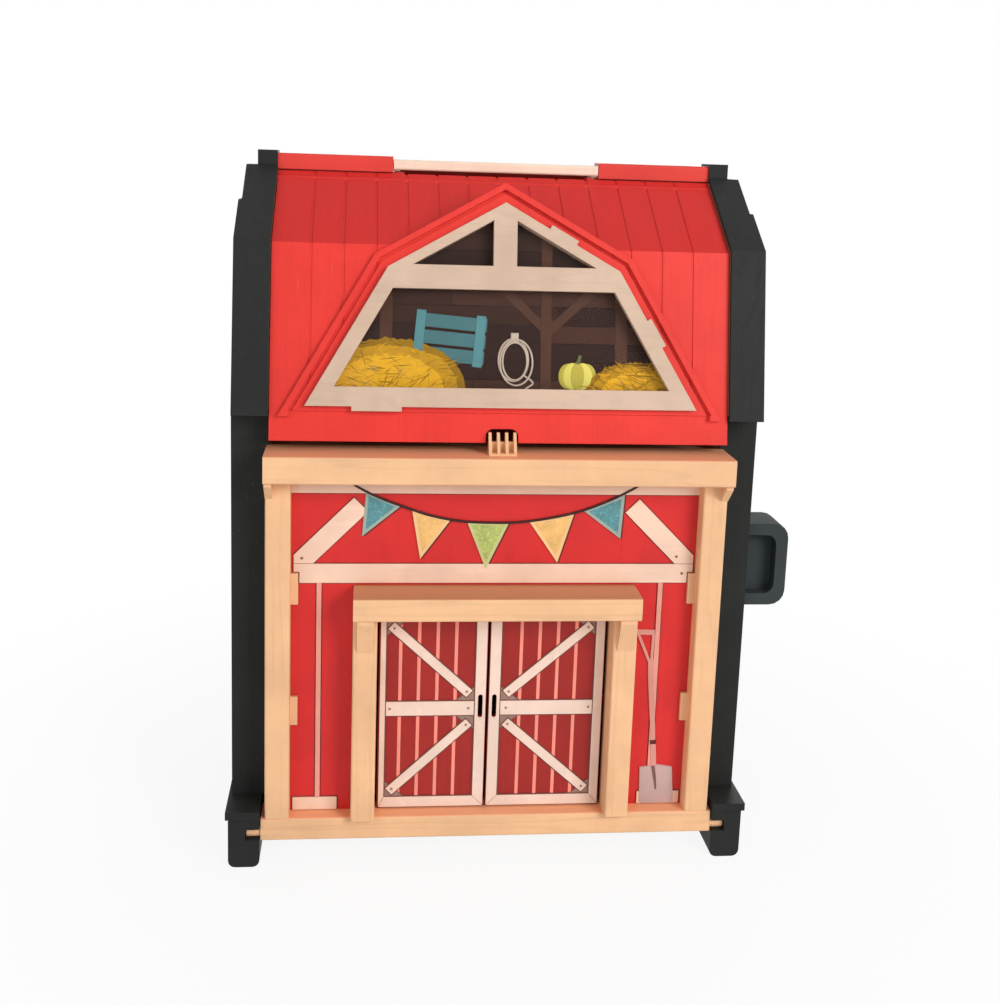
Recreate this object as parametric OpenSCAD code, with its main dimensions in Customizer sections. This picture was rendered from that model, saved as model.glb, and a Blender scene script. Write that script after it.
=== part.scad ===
// Toy barn with a gambrel roof, a fold-down front with two doors, a lifting roof front and a carry handle.
// The barn's own middle plane is x = 0, its ridge runs along y = 0, the front looks towards -y.
// set_down() moves it so that the origin is the middle of its bounding box, on the floor.

/* [Barn] */
// Clear width between the two end walls
room_w = 253; // [240:1:280]
// Thickness of an end wall
wall_t = 21; // [17:1:26]
// Thickness of an end wall's hollow shell
shell_t = 2.6; // [2.2:0.1:3]
// Thickness of the liner that closes it towards the room
liner_t = 2.6; // [2:0.1:3]
// Distance of an end wall's front edge from the ridge plane, below the eaves
wall_half_d = 68; // [62:1:74]

/* [Roof] */
// Height of the roof's lower edge above the soles of the feet
eave_z = 246.5; // [240:0.5:256]
// Distance of the roof's lower edge from the ridge plane
eave_y = 84; // [80:1:88]
// Height of the steep slope
steep_rise = 105; // [96:0.5:114]
// Distance of the bend above it from the ridge plane
crest_y = 64; // [60:1:70]
// Height of the upper slope
upper_rise = 38; // [34:0.5:42]
// Height of the end walls' tops above the upper slope
ridge_end_h = 10.5; // [9.5:0.5:13]
// Thickness of a roof moulding
roof_t = 3; // [2:0.1:3.5]
// How far the black rake edges stand proud of the roof
rake_proud = 3; // [1:0.1:5]
// Height of the rakes' lower ends above the roof's lower edge
rake_foot_up = 13.5; // [10:0.5:20]
// Spacing of the board grooves
board_pitch = 17.5; // [14:0.5:24]
// Width of a board groove
groove_w = 1.6; // [0.8:0.1:2.4]
// Depth of a board groove
groove_d = 0.5; // [0.3:0.1:1.2]
// Largest opening angle of the roof front
roof_open_deg = 75; // [30:1:75]

/* [Ridge and handle] */
// Half the depth of the ridge caps
cap_half_d = 8; // [7:0.5:9]
// Height of the ridge caps
cap_h = 9; // [8:0.5:9.5]
// Clear length between the two ridge caps
cap_gap = 120.8; // [90:0.1:150]
// Half the depth of the ridge beam below the caps
ridge_beam_half_d = 5; // [4:0.5:5.2]
// Height of the ridge beam
ridge_beam_h = 15.5; // [13:0.5:20]
// Depth of the finger trough in the ridge beam
trough_d = 10; // [6:0.5:11]
// Thickness of the handle's bar, front to back
bail_t = 5; // [4:0.5:6]
// Height of the handle's bar
bail_h = 6; // [5:0.5:7]
// Width of a handle arm
bail_arm_w = 3.8; // [3:0.1:5]
// Radius of the handle's pivot pins
bail_pin_r = 1.8; // [1.4:0.1:2.2]
// Length of the handle's pivot pins
bail_pin_l = 5; // [3:0.5:8]

/* [Dormer window] */
// Half width of the dormer at its foot
dormer_foot_x = 121.5; // [112:0.5:123]
// Half width of the dormer at its shoulders
dormer_shoulder_x = 70.5; // [60:0.5:80]
// Distance of the dormer's foot from the roof's lower edge, along the slope
dormer_foot_s = 13.2; // [9:0.2:16]
// Distance of its shoulders below the bend, along the slope
shoulder_drop = 5.1; // [4:0.1:8]
// Height of the ridge above the dormer's peak
peak_drop = 3.5; // [2:0.5:8]
// Width of the raised rib round the dormer
rib_w = 3.2; // [2:0.1:4]
// Height of that rib above the roof
rib_h = 3; // [1.5:0.1:4]
// Width of the sunk line inside the rib
rib_gap = 1.8; // [1:0.1:2.2]
// Height of the seat that carries the window frame
seat_h = 1; // [0.6:0.1:1.6]
// Distance from the dormer's outline to the window frame
frame_inset = 9.6; // [8.6:0.1:11]
// Width of the frame's sloping bars
frame_bar_w = 8.2; // [7:0.1:9.5]
// Width of the two bars under its peak
gable_bar_w = 5.4; // [4.5:0.1:8]
// Thickness of the window frame
frame_t = 4; // [3:0.1:5]
// Width of the window's cross bar
cross_w = 13; // [9:0.5:16]
// Distance of the cross bar's middle below the dormer's shoulders
cross_drop = 12.1; // [10:0.1:16]
// Width of the upright bar in the gable
mullion_w = 12.8; // [9:0.2:17]
// Width of the window's bottom rail
bottom_rail_w = 10.6; // [8:0.2:13]
// How far the frame overlaps the hole in the roof
frame_lap = 3.5; // [2.5:0.1:4.5]
// Thickness of the clear pane
pane_t = 1; // [0.6:0.1:1.6]
// Distance from the frame's back to the printed card
card_depth = 4.8; // [3:0.1:6]
// Thickness of the printed cards
card_t = 0.8; // [0.4:0.1:1.2]

/* [Feet and hinge] */
// Height of a foot
foot_h = 34; // [31:0.5:40]
// Distance from the foot's front to the end wall's front edge
foot_nose = 20.5; // [18:0.5:24]
// Length of a foot under the end wall
foot_under = 22; // [16:0.5:30]
// Width of a foot
foot_w = 17.5; // [16:0.5:18.5]
// How far the lip round a foot's top stands out
foot_lip = 1.5; // [0.8:0.1:2.5]
// Height of that lip
foot_lip_h = 4.5; // [3:0.1:6]
// Radius of a foot's lower corners
foot_r = 4; // [2:0.5:5]
// Height of the end wall's lower edge between the feet
skirt_z = 9; // [7:0.5:10]
// Height of the front wall's hinge axis
hinge_z = 19.5; // [19.5:0.1:23]
// Distance of the hinge axis from the end wall's front edge
hinge_out = 14; // [13.5:0.1:15]
// Radius of the hinge pins
hinge_pin_r = 3.7; // [3:0.1:4]
// Length of the hinge pins
hinge_pin_l = 7.5; // [5:0.1:9]

/* [Front wall] */
// How far the header reaches over each end wall's front edge
header_lap = 1.5; // [0.7:0.1:2.5]
// Height of the header beam
header_h = 15; // [12:0.5:18]
// Gap between the header's top and the roof's lower edge
header_gap = 5.5; // [3:0.5:7]
// How far the header stands out from the posts
header_out = 12; // [8:0.5:13]
// Width of a corner post
post_w = 13.7; // [11:0.1:16]
// Depth of the posts and the sill
frame_d = 18.7; // [17:0.1:20]
// Height of the sill beam
sill_h = 13.3; // [12:0.1:14]
// Distance from the hinge axis down to the sill's lower face
sill_drop = 4.5; // [4.2:0.1:5]
// Distance from the posts' front down to the printed card
panel_recess = 10; // [8:0.5:11]
// Thickness of the front panel
panel_t = 3; // [2.4:0.1:3.6]
// Radius of the beams' edges
beam_r = 1.2; // [0.6:0.1:2]
// Thickness of the raised trim
trim_t = 0.8; // [0.4:0.1:1]
// Gap between the lintel and the rail across the panel
rail_gap = 1.5; // [1:0.5:20]
// Width of that rail
rail_w = 11; // [8:0.5:13]
// Width of the panel's diagonal braces
brace_w = 11; // [7:0.5:12]
// Width of the panel's battens
batten_w = 3; // [1.6:0.1:4]
// Distance of the battens from the middle of the barn
batten_x = 96.5; // [92:0.5:104]
// How far the battens are off to the left
batten_shift = 1; // [0:0.1:2]
// Height of the baseboards
baseboard_h = 8; // [5:0.5:12]

/* [Doorway] */
// Half the clear width of the doorway
doorway_half_w = 66; // [54:0.5:72]
// Height of the lintel's lower face
doorway_z = 150; // [136:0.5:152]
// Width of a door jamb
jamb_w = 13.5; // [10:0.5:15]
// How far the jambs stand out from the printed card
jamb_out = 15; // [11:0.5:16]
// Height of the lintel
lintel_h = 13; // [10:0.5:14]
// How far the lintel stands out from the jambs
lintel_out = 9; // [5:0.5:9]
// Width of the brackets under the lintel
bracket_w = 9; // [6:0.5:10]
// Height of those brackets
bracket_h = 21; // [12:0.5:26]

/* [Doors] */
// Thickness of a door leaf
leaf_t = 3.2; // [3:0.1:3.6]
// Gap between the two leaves
leaf_gap = 1.2; // [0.8:0.1:2]
// Gap above and below a leaf
leaf_end_gap = 0.7; // [0.5:0.1:1]
// Width of the doors' border
stile_w = 6.3; // [5:0.1:8.5]
// Mean width of that border along the hinges
hinge_stile_w = 5.4; // [5:0.1:8.5]
// How far the line where the doors meet is off to the left
door_shift = 2.5; // [0:0.1:3]
// Width of the rail across a door
door_rail_w = 8.6; // [6:0.1:11]
// Height of that rail above the door's middle
door_rail_up = 0.4; // [-8:0.1:8]
// Width of a door's diagonal braces
door_brace_w = 5.6; // [4:0.1:10]
// Width of the finger slots
slot_w = 2.7; // [2:0.1:3]
// Length of the finger slots
slot_l = 14; // [10:0.5:20]
// Height of the slots' middle above the rail's middle
slot_up = 1.2; // [0:0.1:3]
// Radius of the doors' pivot pins
door_pin_r = 1.5; // [1.2:0.1:1.6]
// Length of the doors' pivot pins
door_pin_l = 3; // [2:0.1:4]

/* [Catch] */
// Half width of the catch
catch_half_w = 7.6; // [6:0.2:9]
// Height of the catch above the header
catch_h = 11.5; // [9:0.5:12]
// Thickness of a catch rib
catch_rib_w = 1.6; // [1.2:0.1:2]
// Number of catch ribs
catch_ribs = 4; // [3:1:5]

/* [Side grip] */
// How far the grip stands out from the end wall
grip_out = 28.5; // [22:0.5:34]
// Height of the grip
grip_h = 50; // [40:1:60]
// Height of the middle of the grip
grip_z = 167.5; // [150:0.5:185]
// Depth of the grip, front to back
grip_d = 25; // [18:0.5:30]
// Distance of the grip's front from the end wall's front edge
grip_back = 14; // [4:0.5:20]
// Width of the rim round the grip's hollow
grip_rim = 7; // [5:0.5:9]
// Depth of each hollow
grip_hollow_d = 8.5; // [6:0.5:9]
// Radius of the grip's outer corners
grip_r = 9; // [5:0.5:12]

/* [Floors and back] */
// Thickness of the floor boards
floor_t = 4; // [3:0.5:5]
// Height of the ground floor's top
floor_z = 24; // [23.5:0.5:28]
// Depth of the loft floor's top below the roof's lower edge
loft_drop = 8.5; // [6.5:0.5:12]
// Height of the rails under a floor
floor_rail_h = 9; // [8:0.5:10]
// Width of those rails
floor_rail_w = 9; // [7:0.5:14]
// Thickness of the back wall
back_t = 4; // [3:0.5:5]
// Distance of the wall screws from the feet
screw_in = 6; // [6:0.5:12]
// Radius of a screw's shank
screw_r = 1.5; // [1.2:0.1:1.8]
// Radius of a screw's head
screw_head_r = 3.4; // [3:0.1:4]
// Depth of a screw's counterbore
screw_sink = 3; // [2.4:0.1:4]

/* [Clearances] */
// Gap between moving parts and what they pass
move_gap = 0.5; // [0.4:0.05:0.6]
// Gap where a closed part stops against its seat
stop_gap = 0.3; // [0.2:0.05:0.4]
// Radial play of a pin in its bore
pin_play = 0.06; // [0.03:0.01:0.1]

/* [Hidden] */

arc_n = 4;
eps = 0.01;
deep = 60;
pin_fn = 48;

room_half = room_w / 2;
wall_x = room_half + wall_t;
loft_z = eave_z - loft_drop;
panel_half_w = room_half - move_gap;

// Directions and lengths of the two roof slopes, in the y-z plane of the front half
crest_z = eave_z + steep_rise;
slope_top_z = crest_z + upper_rise;
barn_h = slope_top_z + ridge_end_h;
rake_foot_z = eave_z + rake_foot_up;
steep_run = eave_y - crest_y;
steep_deg = atan2(steep_rise, steep_run);
sheet_end_y = cap_half_d + 1.2;
upper_run = crest_y - cap_half_d;
upper_deg = atan2(upper_rise, upper_run);

// Ridge
ridge_z = slope_top_z;
cap_top_z = ridge_z + cap_h;
ridge_end_half_d = cap_half_d + 1.5;
cap_in_x = cap_gap / 2;
bail_half_w = cap_in_x - 0.4;
bail_bottom_z = ridge_z + stop_gap;
bail_axis_z = bail_bottom_z + (bail_h + 1) / 2;
bail_axis_y = cap_half_d - 3.5;
trough_half_w = bail_half_w - bail_arm_w - 2.2;

// Hinge of the roof front: a barrel under the sheet's upper edge
roof_barrel_r = 3;
roof_pin_r = 2.5;
roof_pin_l = 6;
roof_axis_y = -(sheet_end_y + 2.8);
roof_axis_z = slope_z(-roof_axis_y) - roof_t / cos(upper_deg) + 0.3;

// Front wall planes, all measured back from the end walls' front edges
frame_back_y = -(wall_half_d + stop_gap);
post_front_y = frame_back_y - frame_d;
header_front_y = post_front_y - header_out;
card_front_y = post_front_y + panel_recess;
panel_front_y = card_front_y + card_t;
panel_back_y = panel_front_y + panel_t;
portal_back_y = panel_back_y + 2.2;
jamb_front_y = card_front_y - jamb_out;
lintel_front_y = jamb_front_y - lintel_out;
header_half_w = room_half + header_lap;
post_out_x = header_half_w - 0.3;
post_in_x = post_out_x - post_w;
hinge_y = -(wall_half_d + hinge_out);
sill_z0 = hinge_z - sill_drop;
sill_z1 = sill_z0 + sill_h;
header_z1 = eave_z - header_gap;
header_z0 = header_z1 - header_h;
portal_x = doorway_half_w + jamb_w;
lintel_z1 = doorway_z + lintel_h;
rail_z0 = lintel_z1 + rail_gap;
rail_z1 = rail_z0 + rail_w;

// Feet
foot_out_x = wall_x + 0.3;
foot_in_x = foot_out_x - foot_w;
sill_half_w = foot_in_x - move_gap;
foot_front_y = -(wall_half_d + foot_nose);
foot_back_y = -(wall_half_d - foot_under);
screw_y = -foot_back_y - screw_in;

// Doors: the axis keeps the open leaf clear of its jamb
leaf_mid_y = card_front_y + leaf_t / 2;
door_axis_x = doorway_half_w - move_gap - trim_t - leaf_t / 2;
leaf_z0 = sill_z1 + leaf_end_gap;
leaf_z1 = doorway_z - leaf_end_gap;
door_rail_z = (leaf_z0 + leaf_z1) / 2 + door_rail_up;
door_stop_y = leaf_mid_y + leaf_t / 2 + 0.4;
door_stop_h = 1.8 + leaf_end_gap;
door_stop_half_w = door_axis_x - 4;
trim_out_x = door_axis_x + 0.8;
trim_in_x = leaf_gap / 2 + 0.3;
slot_x = leaf_gap / 2 + 3.4;

// Catch and its arch in the roof's lower edge
catch_back_y = -(eave_y - 0.4);
catch_t = 2.4;
catch_foot = 6;
arch_half_w = catch_half_w + 1.3;
arch_z = header_z1 + catch_h + 1.5;

// Dormer outline and the outlines inside it, x across and s up the steep slope
dormer_shoulder_s = norm([steep_run, steep_rise]) - shoulder_drop;
dormer_peak_s = (steep_rise + upper_rise - peak_drop) / sin(steep_deg);
cross_s = dormer_shoulder_s - cross_drop;
dormer = [
    [-dormer_foot_x, dormer_foot_s], [dormer_foot_x, dormer_foot_s],
    [dormer_shoulder_x, dormer_shoulder_s], [0, dormer_peak_s],
    [-dormer_shoulder_x, dormer_shoulder_s]
];
frame_outline = inset(dormer, frame_inset, frame_inset - 3.8);
hole_outline = inset(frame_outline, frame_lap, frame_lap);
skirt_t = 1.6;
skirt_outline = inset(hole_outline, 0.3, 0.3);
frame_open = inset_each(frame_outline, [bottom_rail_w, frame_bar_w, gable_bar_w, gable_bar_w, frame_bar_w]);

// Side grip
grip_front_y = -(wall_half_d - grip_back);

// Set-down of the whole barn, so that the bounding box's middle is the origin
low_x = -(foot_out_x + foot_lip);
high_x = wall_x + grip_out;
front_y = lintel_front_y;
rear_y = -foot_front_y + foot_lip;
origin_shift = [-(low_x + high_x) / 2, -(front_y + rear_y) / 2, 0];

// Plane geometry

function unit(v) = v / norm(v);

// Point where the line through p along u meets the line through q along v
function meet(p, u, q, v) = p + u * cross(q - p, v) / cross(u, v);

// Arc of radius r that rounds the corner b between a and c
function corner_arc(a, b, c, r) =
    let (
        u = unit(a - b),
        v = unit(c - b),
        half = acos(u * v) / 2,
        mid = b + unit(u + v) * r / sin(half),
        from = b + u * r / tan(half) - mid,
        to = b + v * r / tan(half) - mid,
        a0 = atan2(from[1], from[0]),
        turn = (atan2(to[1], to[0]) - a0 + 540) % 360 - 180
    )
    [for (i = [0 : arc_n]) mid + r * [cos(a0 + turn * i / arc_n), sin(a0 + turn * i / arc_n)]];

// A polygon with every corner rounded
function rounded(p, r) =
    let (n = len(p))
    [for (i = [0 : n - 1]) each corner_arc(p[(i + n - 1) % n], p[i], p[(i + 1) % n], r)];

// A counter-clockwise polygon drawn in by its own distance on each edge
function inset_each(p, ds) =
    let (n = len(p))
    [for (i = [0 : n - 1])
        let (
            a = p[(i + n - 1) % n],
            b = p[i],
            c = p[(i + 1) % n],
            u = unit(b - a),
            v = unit(c - b),
            du = ds[(i + n - 1) % n],
            dv = ds[i]
        )
        meet(a + du * [-u[1], u[0]], u, b + dv * [-v[1], v[0]], v)];

// The same drawn in by d, and by base_d on its first edge
function inset(p, d, base_d) = inset_each(p, [for (i = [0 : len(p) - 1]) i == 0 ? base_d : d]);

function box_points(a0, b0, a1, b1) = [[a0, b0], [a1, b0], [a1, b1], [a0, b1]];

function reversed(p) = [for (i = [len(p) - 1 : -1 : 0]) p[i]];

function mirrored(p) = [for (q = p) [-q[0], q[1]]];

// Height of the upper slope's outer face at a distance from the ridge plane
function slope_z(dist) = slope_top_z - (dist - cap_half_d) * tan(upper_deg);

// The front half of the roof's outer line, moved outwards by d, from a height up to a distance from the ridge plane
function roof_line(d, end_y, foot_z = eave_z) =
    let (
        eave = [-eave_y, eave_z],
        crest = [-crest_y, crest_z],
        u = unit(crest - eave),
        v = [cos(upper_deg), sin(upper_deg)],
        nu = [-u[1], u[0]],
        nv = [-v[1], v[0]],
        bend = meet(eave + d * nu, u, crest + d * nv, v)
    )
    [
        meet(eave + d * nu, u, [0, foot_z], [1, 0]),
        bend,
        meet(crest + d * nv, v, [-end_y, 0], [0, 1])
    ];

// Placing helpers

module set_down() {
    translate(origin_shift) children();
}

// Extrude a y-z outline along x, from x0 to x1
module across(x0, x1) {
    translate([x0, 0, 0]) rotate([90, 0, 90]) linear_extrude(x1 - x0) children();
}

// Extrude an x-z outline along y, from y0 to y1
module along(y0, y1) {
    translate([0, y1, 0]) rotate([90, 0, 0]) linear_extrude(y1 - y0) children();
}

// Extrude an outline drawn on the steep slope, from n0 to n1 above its outer face
module on_slope(n0, n1) {
    translate([0, -eave_y, eave_z])
        rotate([steep_deg, 0, 0])
            translate([0, 0, n0]) linear_extrude(n1 - n0) children();
}

module block(x0, x1, y0, y1, z0, z1) {
    translate([x0, y0, z0]) cube([x1 - x0, y1 - y0, z1 - z0]);
}

// A pin or bore along x
module pin_x(x0, x1, y, z, r) {
    translate([x0, y, z]) rotate([0, 90, 0]) cylinder(r = r, h = x1 - x0, $fn = pin_fn);
}

module pin_z(x, y, z0, z1, r) {
    translate([x, y, z0]) cylinder(r = r, h = z1 - z0, $fn = pin_fn);
}

// A flat bar between two points of an outline
module bar(a, b, w) {
    u = unit(b - a);
    n = [-u[1], u[0]] * w / 2;
    polygon([a + n, b + n, b - n, a - n]);
}

// End walls

function wall_half() =
    let (
        rake = roof_line(rake_proud, ridge_end_half_d),
        u = unit(rake[1] - rake[0]),
        foot = meet(rake[0], u, [0, rake_foot_z], [1, 0])
    )
    [
        [foot_back_y, skirt_z], [foot_back_y, foot_h],
        [-wall_half_d, foot_h], [-wall_half_d, rake_foot_z],
        foot, rake[1], rake[2], [-ridge_end_half_d, barn_h]
    ];

function wall_outline() = concat(mirrored(wall_half()), reversed(wall_half()));

// The outer face steps in at these heights, by these amounts
wall_step_z = [rake_foot_z, crest_z + 21, slope_top_z + 2];
wall_step_in = [1.5, 3.4, 9.8];
boss_r = 5.5;
liner_top_z = wall_step_z[2] - shell_t;

module wall_hollow() {
    for (i = [0 : 2])
        intersection() {
            across(room_half - 1, wall_x - shell_t - (i == 0 ? 0 : wall_step_in[i - 1]))
                polygon(inset(wall_outline(), shell_t, shell_t));
            block(0, wall_x, -2 * eave_y, 2 * eave_y, 0, wall_step_z[i] - shell_t);
        }
}

// Sockets of the roof front's pins and the screw holes
module wall_bores() {
    pin_x(room_half - 1, room_half + roof_pin_l + 0.5, roof_axis_y, roof_axis_z, roof_pin_r + pin_play);
    for (p = screw_places) {
        pin_x(room_half - 1, wall_x + 1, p[0], p[1], screw_r + 0.1);
        pin_x(wall_x - p[2] - screw_sink, wall_x + 1, p[0], p[1], screw_head_r + 0.3);
    }
}

module end_wall() {
    difference() {
        union() {
            difference() {
                across(room_half, wall_x) polygon(wall_outline());
                wall_hollow();
            }
            for (p = concat(screw_places, [[roof_axis_y, roof_axis_z, wall_step_in[1]]]))
                pin_x(room_half + liner_t, wall_x - p[2] - 1, p[0], p[1], boss_r);
        }
        // the wall grows thinner towards the ridge
        for (i = [0 : 2])
            block(wall_x - wall_step_in[i], wall_x + 1, -2 * eave_y, 2 * eave_y, wall_step_z[i], barn_h + 1);
        // board grooves on the outer face
        for (i = [-3 : 3]) {
            y0 = i * board_pitch - groove_w / 2;
            block(wall_x - groove_d, wall_x + 1, y0, y0 + groove_w, foot_h + 10, rake_foot_z + 1);
            block(wall_x - wall_step_in[0] - groove_d, wall_x + 1, y0, y0 + groove_w, rake_foot_z, crest_z - 12);
        }
        wall_bores();
    }
}

module wall_liner() {
    difference() {
        across(room_half, room_half + liner_t)
            polygon(inset(wall_outline(), shell_t + 0.1, shell_t + 0.1));
        block(0, wall_x, -eave_y, eave_y, liner_top_z - 0.1, barn_h);
        wall_bores();
    }
    // lug that the closed roof front rests on
    on_slope(-roof_t - stop_gap - 4, -roof_t - stop_gap)
        polygon(box_points(room_half - 5, 20, room_half + 0.5, 60));
}

module left_end_wall() color([0.16, 0.16, 0.15]) mirror([1, 0, 0]) end_wall();

module right_end_wall() color([0.16, 0.16, 0.15]) end_wall();

module left_wall_liner() color([0.72, 0.5, 0.34]) mirror([1, 0, 0]) wall_liner();

module right_wall_liner() color([0.72, 0.5, 0.34]) wall_liner();

// Screws through the end walls into the floors' rails and the ridge beam: y, z and the wall's step there
screw_places = concat(
    [for (y = [-screw_y, screw_y], z = [floor_z, loft_z]) [y, z - floor_t - floor_rail_h / 2, 0]],
    [[0, ridge_z - ridge_beam_h + 4.5, wall_step_in[1]]]
);
screw_bite = 7;

module wall_screws() color([0.5, 0.5, 0.52])
    for (side = [0, 1], p = screw_places)
        mirror([side, 0, 0])
            difference() {
                union() {
                    pin_x(room_half - screw_bite, wall_x - p[2] - screw_sink + 0.1, p[0], p[1], screw_r);
                    pin_x(wall_x - p[2] - screw_sink, wall_x - p[2] - screw_sink + 2.2, p[0], p[1], screw_head_r);
                }
                // cross recess
                for (a = [0, 90])
                    translate([wall_x - p[2] - screw_sink + 1.2, p[0], p[1]]) rotate([a, 0, 0])
                        cube([4, 3.6, 0.8], center = true);
            }

// Feet

module foot(socket) {
    outline = concat(
        [[foot_out_x, foot_h], [foot_in_x, foot_h]],
        corner_arc([foot_in_x, foot_h], [foot_in_x, 0], [foot_out_x, 0], foot_r),
        corner_arc([foot_in_x, 0], [foot_out_x, 0], [foot_out_x, foot_h], foot_r)
    );
    difference() {
        union() {
            along(foot_front_y, foot_back_y) polygon(outline);
            // lip round the top, in front and outside
            block(foot_in_x, foot_out_x + foot_lip, foot_front_y - foot_lip, foot_back_y,
                foot_h - foot_lip_h, foot_h);
        }
        if (socket) {
            pin_x(foot_in_x - 1, foot_in_x + hinge_pin_l + 0.5, hinge_y, hinge_z, hinge_pin_r + pin_play);
            // snap mouth of the socket, open to the front
            block(foot_in_x - 1, foot_in_x + hinge_pin_l + 0.5, foot_front_y - foot_lip - 1, hinge_y,
                hinge_z - hinge_pin_r + 0.5, hinge_z + hinge_pin_r - 0.5);
        }
    }
}

module front_left_foot() color([0.15, 0.15, 0.14]) mirror([1, 0, 0]) foot(true);

module front_right_foot() color([0.15, 0.15, 0.14]) foot(true);

module rear_left_foot() color([0.15, 0.15, 0.14]) mirror([1, 0, 0]) mirror([0, 1, 0]) foot(false);

module rear_right_foot() color([0.15, 0.15, 0.14]) mirror([0, 1, 0]) foot(false);

// Floors, back wall and rear roof

floor_front_y = -(wall_half_d - 1.2);
floor_back_y = wall_half_d - back_t;

module floor_board(top_z, rail_half_d) {
    difference() {
        union() {
            block(-room_half, room_half, floor_front_y, floor_back_y, top_z - floor_t, top_z);
            for (side = [0, 1]) mirror([side, 0, 0])
                block(room_half - floor_rail_w, room_half, -rail_half_d, rail_half_d,
                    top_z - floor_t - floor_rail_h, top_z - floor_t + eps);
        }
        for (side = [0, 1], y = [-screw_y, screw_y]) mirror([side, 0, 0])
            pin_x(room_half - screw_bite - 0.5, room_half + 1, y, top_z - floor_t - floor_rail_h / 2,
                screw_r + 0.1);
    }
}

module ground_floor() color([0.72, 0.5, 0.34]) floor_board(floor_z, wall_half_d - 14);

module loft_floor() color([0.72, 0.5, 0.34]) floor_board(loft_z, wall_half_d - 14);

module back_wall() color([0.8, 0.16, 0.14])
    difference() {
        block(-room_half, room_half, floor_back_y, wall_half_d, skirt_z, eave_z);
        for (i = [-6 : 6])
            block(i * board_pitch - groove_w / 2, i * board_pitch + groove_w / 2,
                wall_half_d - groove_d, wall_half_d + 1, skirt_z - 1, eave_z + 1);
    }

// A folded roof moulding: the outer line, and the same line drawn in by its thickness
function roof_sheet(end_y) = concat(roof_line(0, end_y), reversed(roof_line(-roof_t, end_y)));

// Board grooves, from the height foot_z upwards
module roof_grooves(half_w, end_y, foot_z) {
    n = floor((half_w - 6) / board_pitch);
    outline = concat(
        roof_line(4, end_y - 1, foot_z),
        reversed(roof_line(-groove_d, end_y - 1, foot_z))
    );
    for (i = [-n : n])
        across(i * board_pitch - groove_w / 2, i * board_pitch + groove_w / 2) polygon(outline);
}

module rear_roof() color([0.84, 0.2, 0.17])
    mirror([0, 1, 0])
        difference() {
            union() {
                across(-room_half, room_half) polygon(roof_sheet(cap_half_d));
                // soffit that closes the eave against the back wall
                block(-room_half, room_half, -eave_y + 2.2, -floor_back_y, eave_z, eave_z + roof_t);
            }
            roof_grooves(room_half, cap_half_d, eave_z - 1);
        }

// Ridge beam, ridge caps and carry handle

module ridge_beam() color([0.72, 0.15, 0.13])
    difference() {
        block(-room_half, room_half, -ridge_beam_half_d, ridge_beam_half_d, ridge_z - ridge_beam_h, ridge_z);
        block(-trough_half_w, trough_half_w, -ridge_beam_half_d - 1, ridge_beam_half_d + 1,
            ridge_z - trough_d, ridge_z + 1);
        for (side = [0, 1]) mirror([side, 0, 0])
            pin_x(room_half - screw_bite - 0.5, room_half + 1, 0, ridge_z - ridge_beam_h + 4.5, screw_r + 0.1);
    }

module ridge_cap() {
    outline = concat(
        [[-cap_half_d, ridge_z], [cap_half_d, ridge_z]],
        corner_arc([cap_half_d, ridge_z], [cap_half_d, cap_top_z], [-cap_half_d, cap_top_z], 1.5),
        corner_arc([cap_half_d, cap_top_z], [-cap_half_d, cap_top_z], [-cap_half_d, ridge_z], 1.5)
    );
    difference() {
        across(cap_in_x, room_half) polygon(outline);
        pin_x(cap_in_x - 1, cap_in_x + bail_pin_l + 0.2, bail_axis_y, bail_axis_z, bail_pin_r + pin_play);
    }
}

module ridge_cap_left() color([0.84, 0.2, 0.17]) mirror([1, 0, 0]) ridge_cap();

module ridge_cap_right() color([0.84, 0.2, 0.17]) ridge_cap();

module carry_handle() color([0.95, 0.8, 0.62]) {
    arm_r = (bail_h + 1) / 2;
    across(-bail_half_w, bail_half_w)
        polygon(rounded(box_points(-cap_half_d, bail_bottom_z + 1, -cap_half_d + bail_t,
            bail_bottom_z + 1 + bail_h), 1.4));
    for (side = [0, 1]) mirror([side, 0, 0]) {
        across(bail_half_w - bail_arm_w, bail_half_w)
            polygon(rounded(box_points(-cap_half_d, bail_bottom_z, bail_axis_y + arm_r,
                bail_bottom_z + 2 * arm_r), arm_r - 0.05));
        pin_x(bail_half_w - 1, bail_half_w + bail_pin_l, bail_axis_y, bail_axis_z, bail_pin_r);
    }
}

// Side grip on the right end wall

module side_grip() color([0.2, 0.21, 0.2]) {
    z0 = grip_z - grip_h / 2;
    z1 = grip_z + grip_h / 2;
    x1 = wall_x + grip_out;
    outline = concat(
        [[wall_x, z1], [wall_x, z0]],
        corner_arc([wall_x, z0], [x1, z0], [x1, z1], grip_r),
        corner_arc([x1, z0], [x1, z1], [wall_x, z1], grip_r)
    );
    hollow = concat(
        [[wall_x + 2, z1 - grip_rim], [wall_x + 2, z0 + grip_rim]],
        corner_arc([wall_x, z0 + grip_rim], [x1 - grip_rim, z0 + grip_rim],
            [x1 - grip_rim, z1], grip_r - 3),
        corner_arc([x1 - grip_rim, z0], [x1 - grip_rim, z1 - grip_rim],
            [wall_x, z1 - grip_rim], grip_r - 3)
    );
    difference() {
        along(grip_front_y, grip_front_y + grip_d) polygon(outline);
        along(grip_front_y - 1, grip_front_y + grip_hollow_d) polygon(hollow);
        along(grip_front_y + grip_d - grip_hollow_d, grip_front_y + grip_d + 1) polygon(hollow);
    }
}

// Front wall

module beam_x(x0, x1, y0, y1, z0, z1) {
    across(x0, x1) polygon(rounded(box_points(y0, z0, y1, z1), beam_r));
}

module beam_z(x0, x1, y0, y1, z0, z1) {
    translate([0, 0, z0]) linear_extrude(z1 - z0) polygon(rounded(box_points(x0, y0, x1, y1), beam_r));
}

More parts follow.
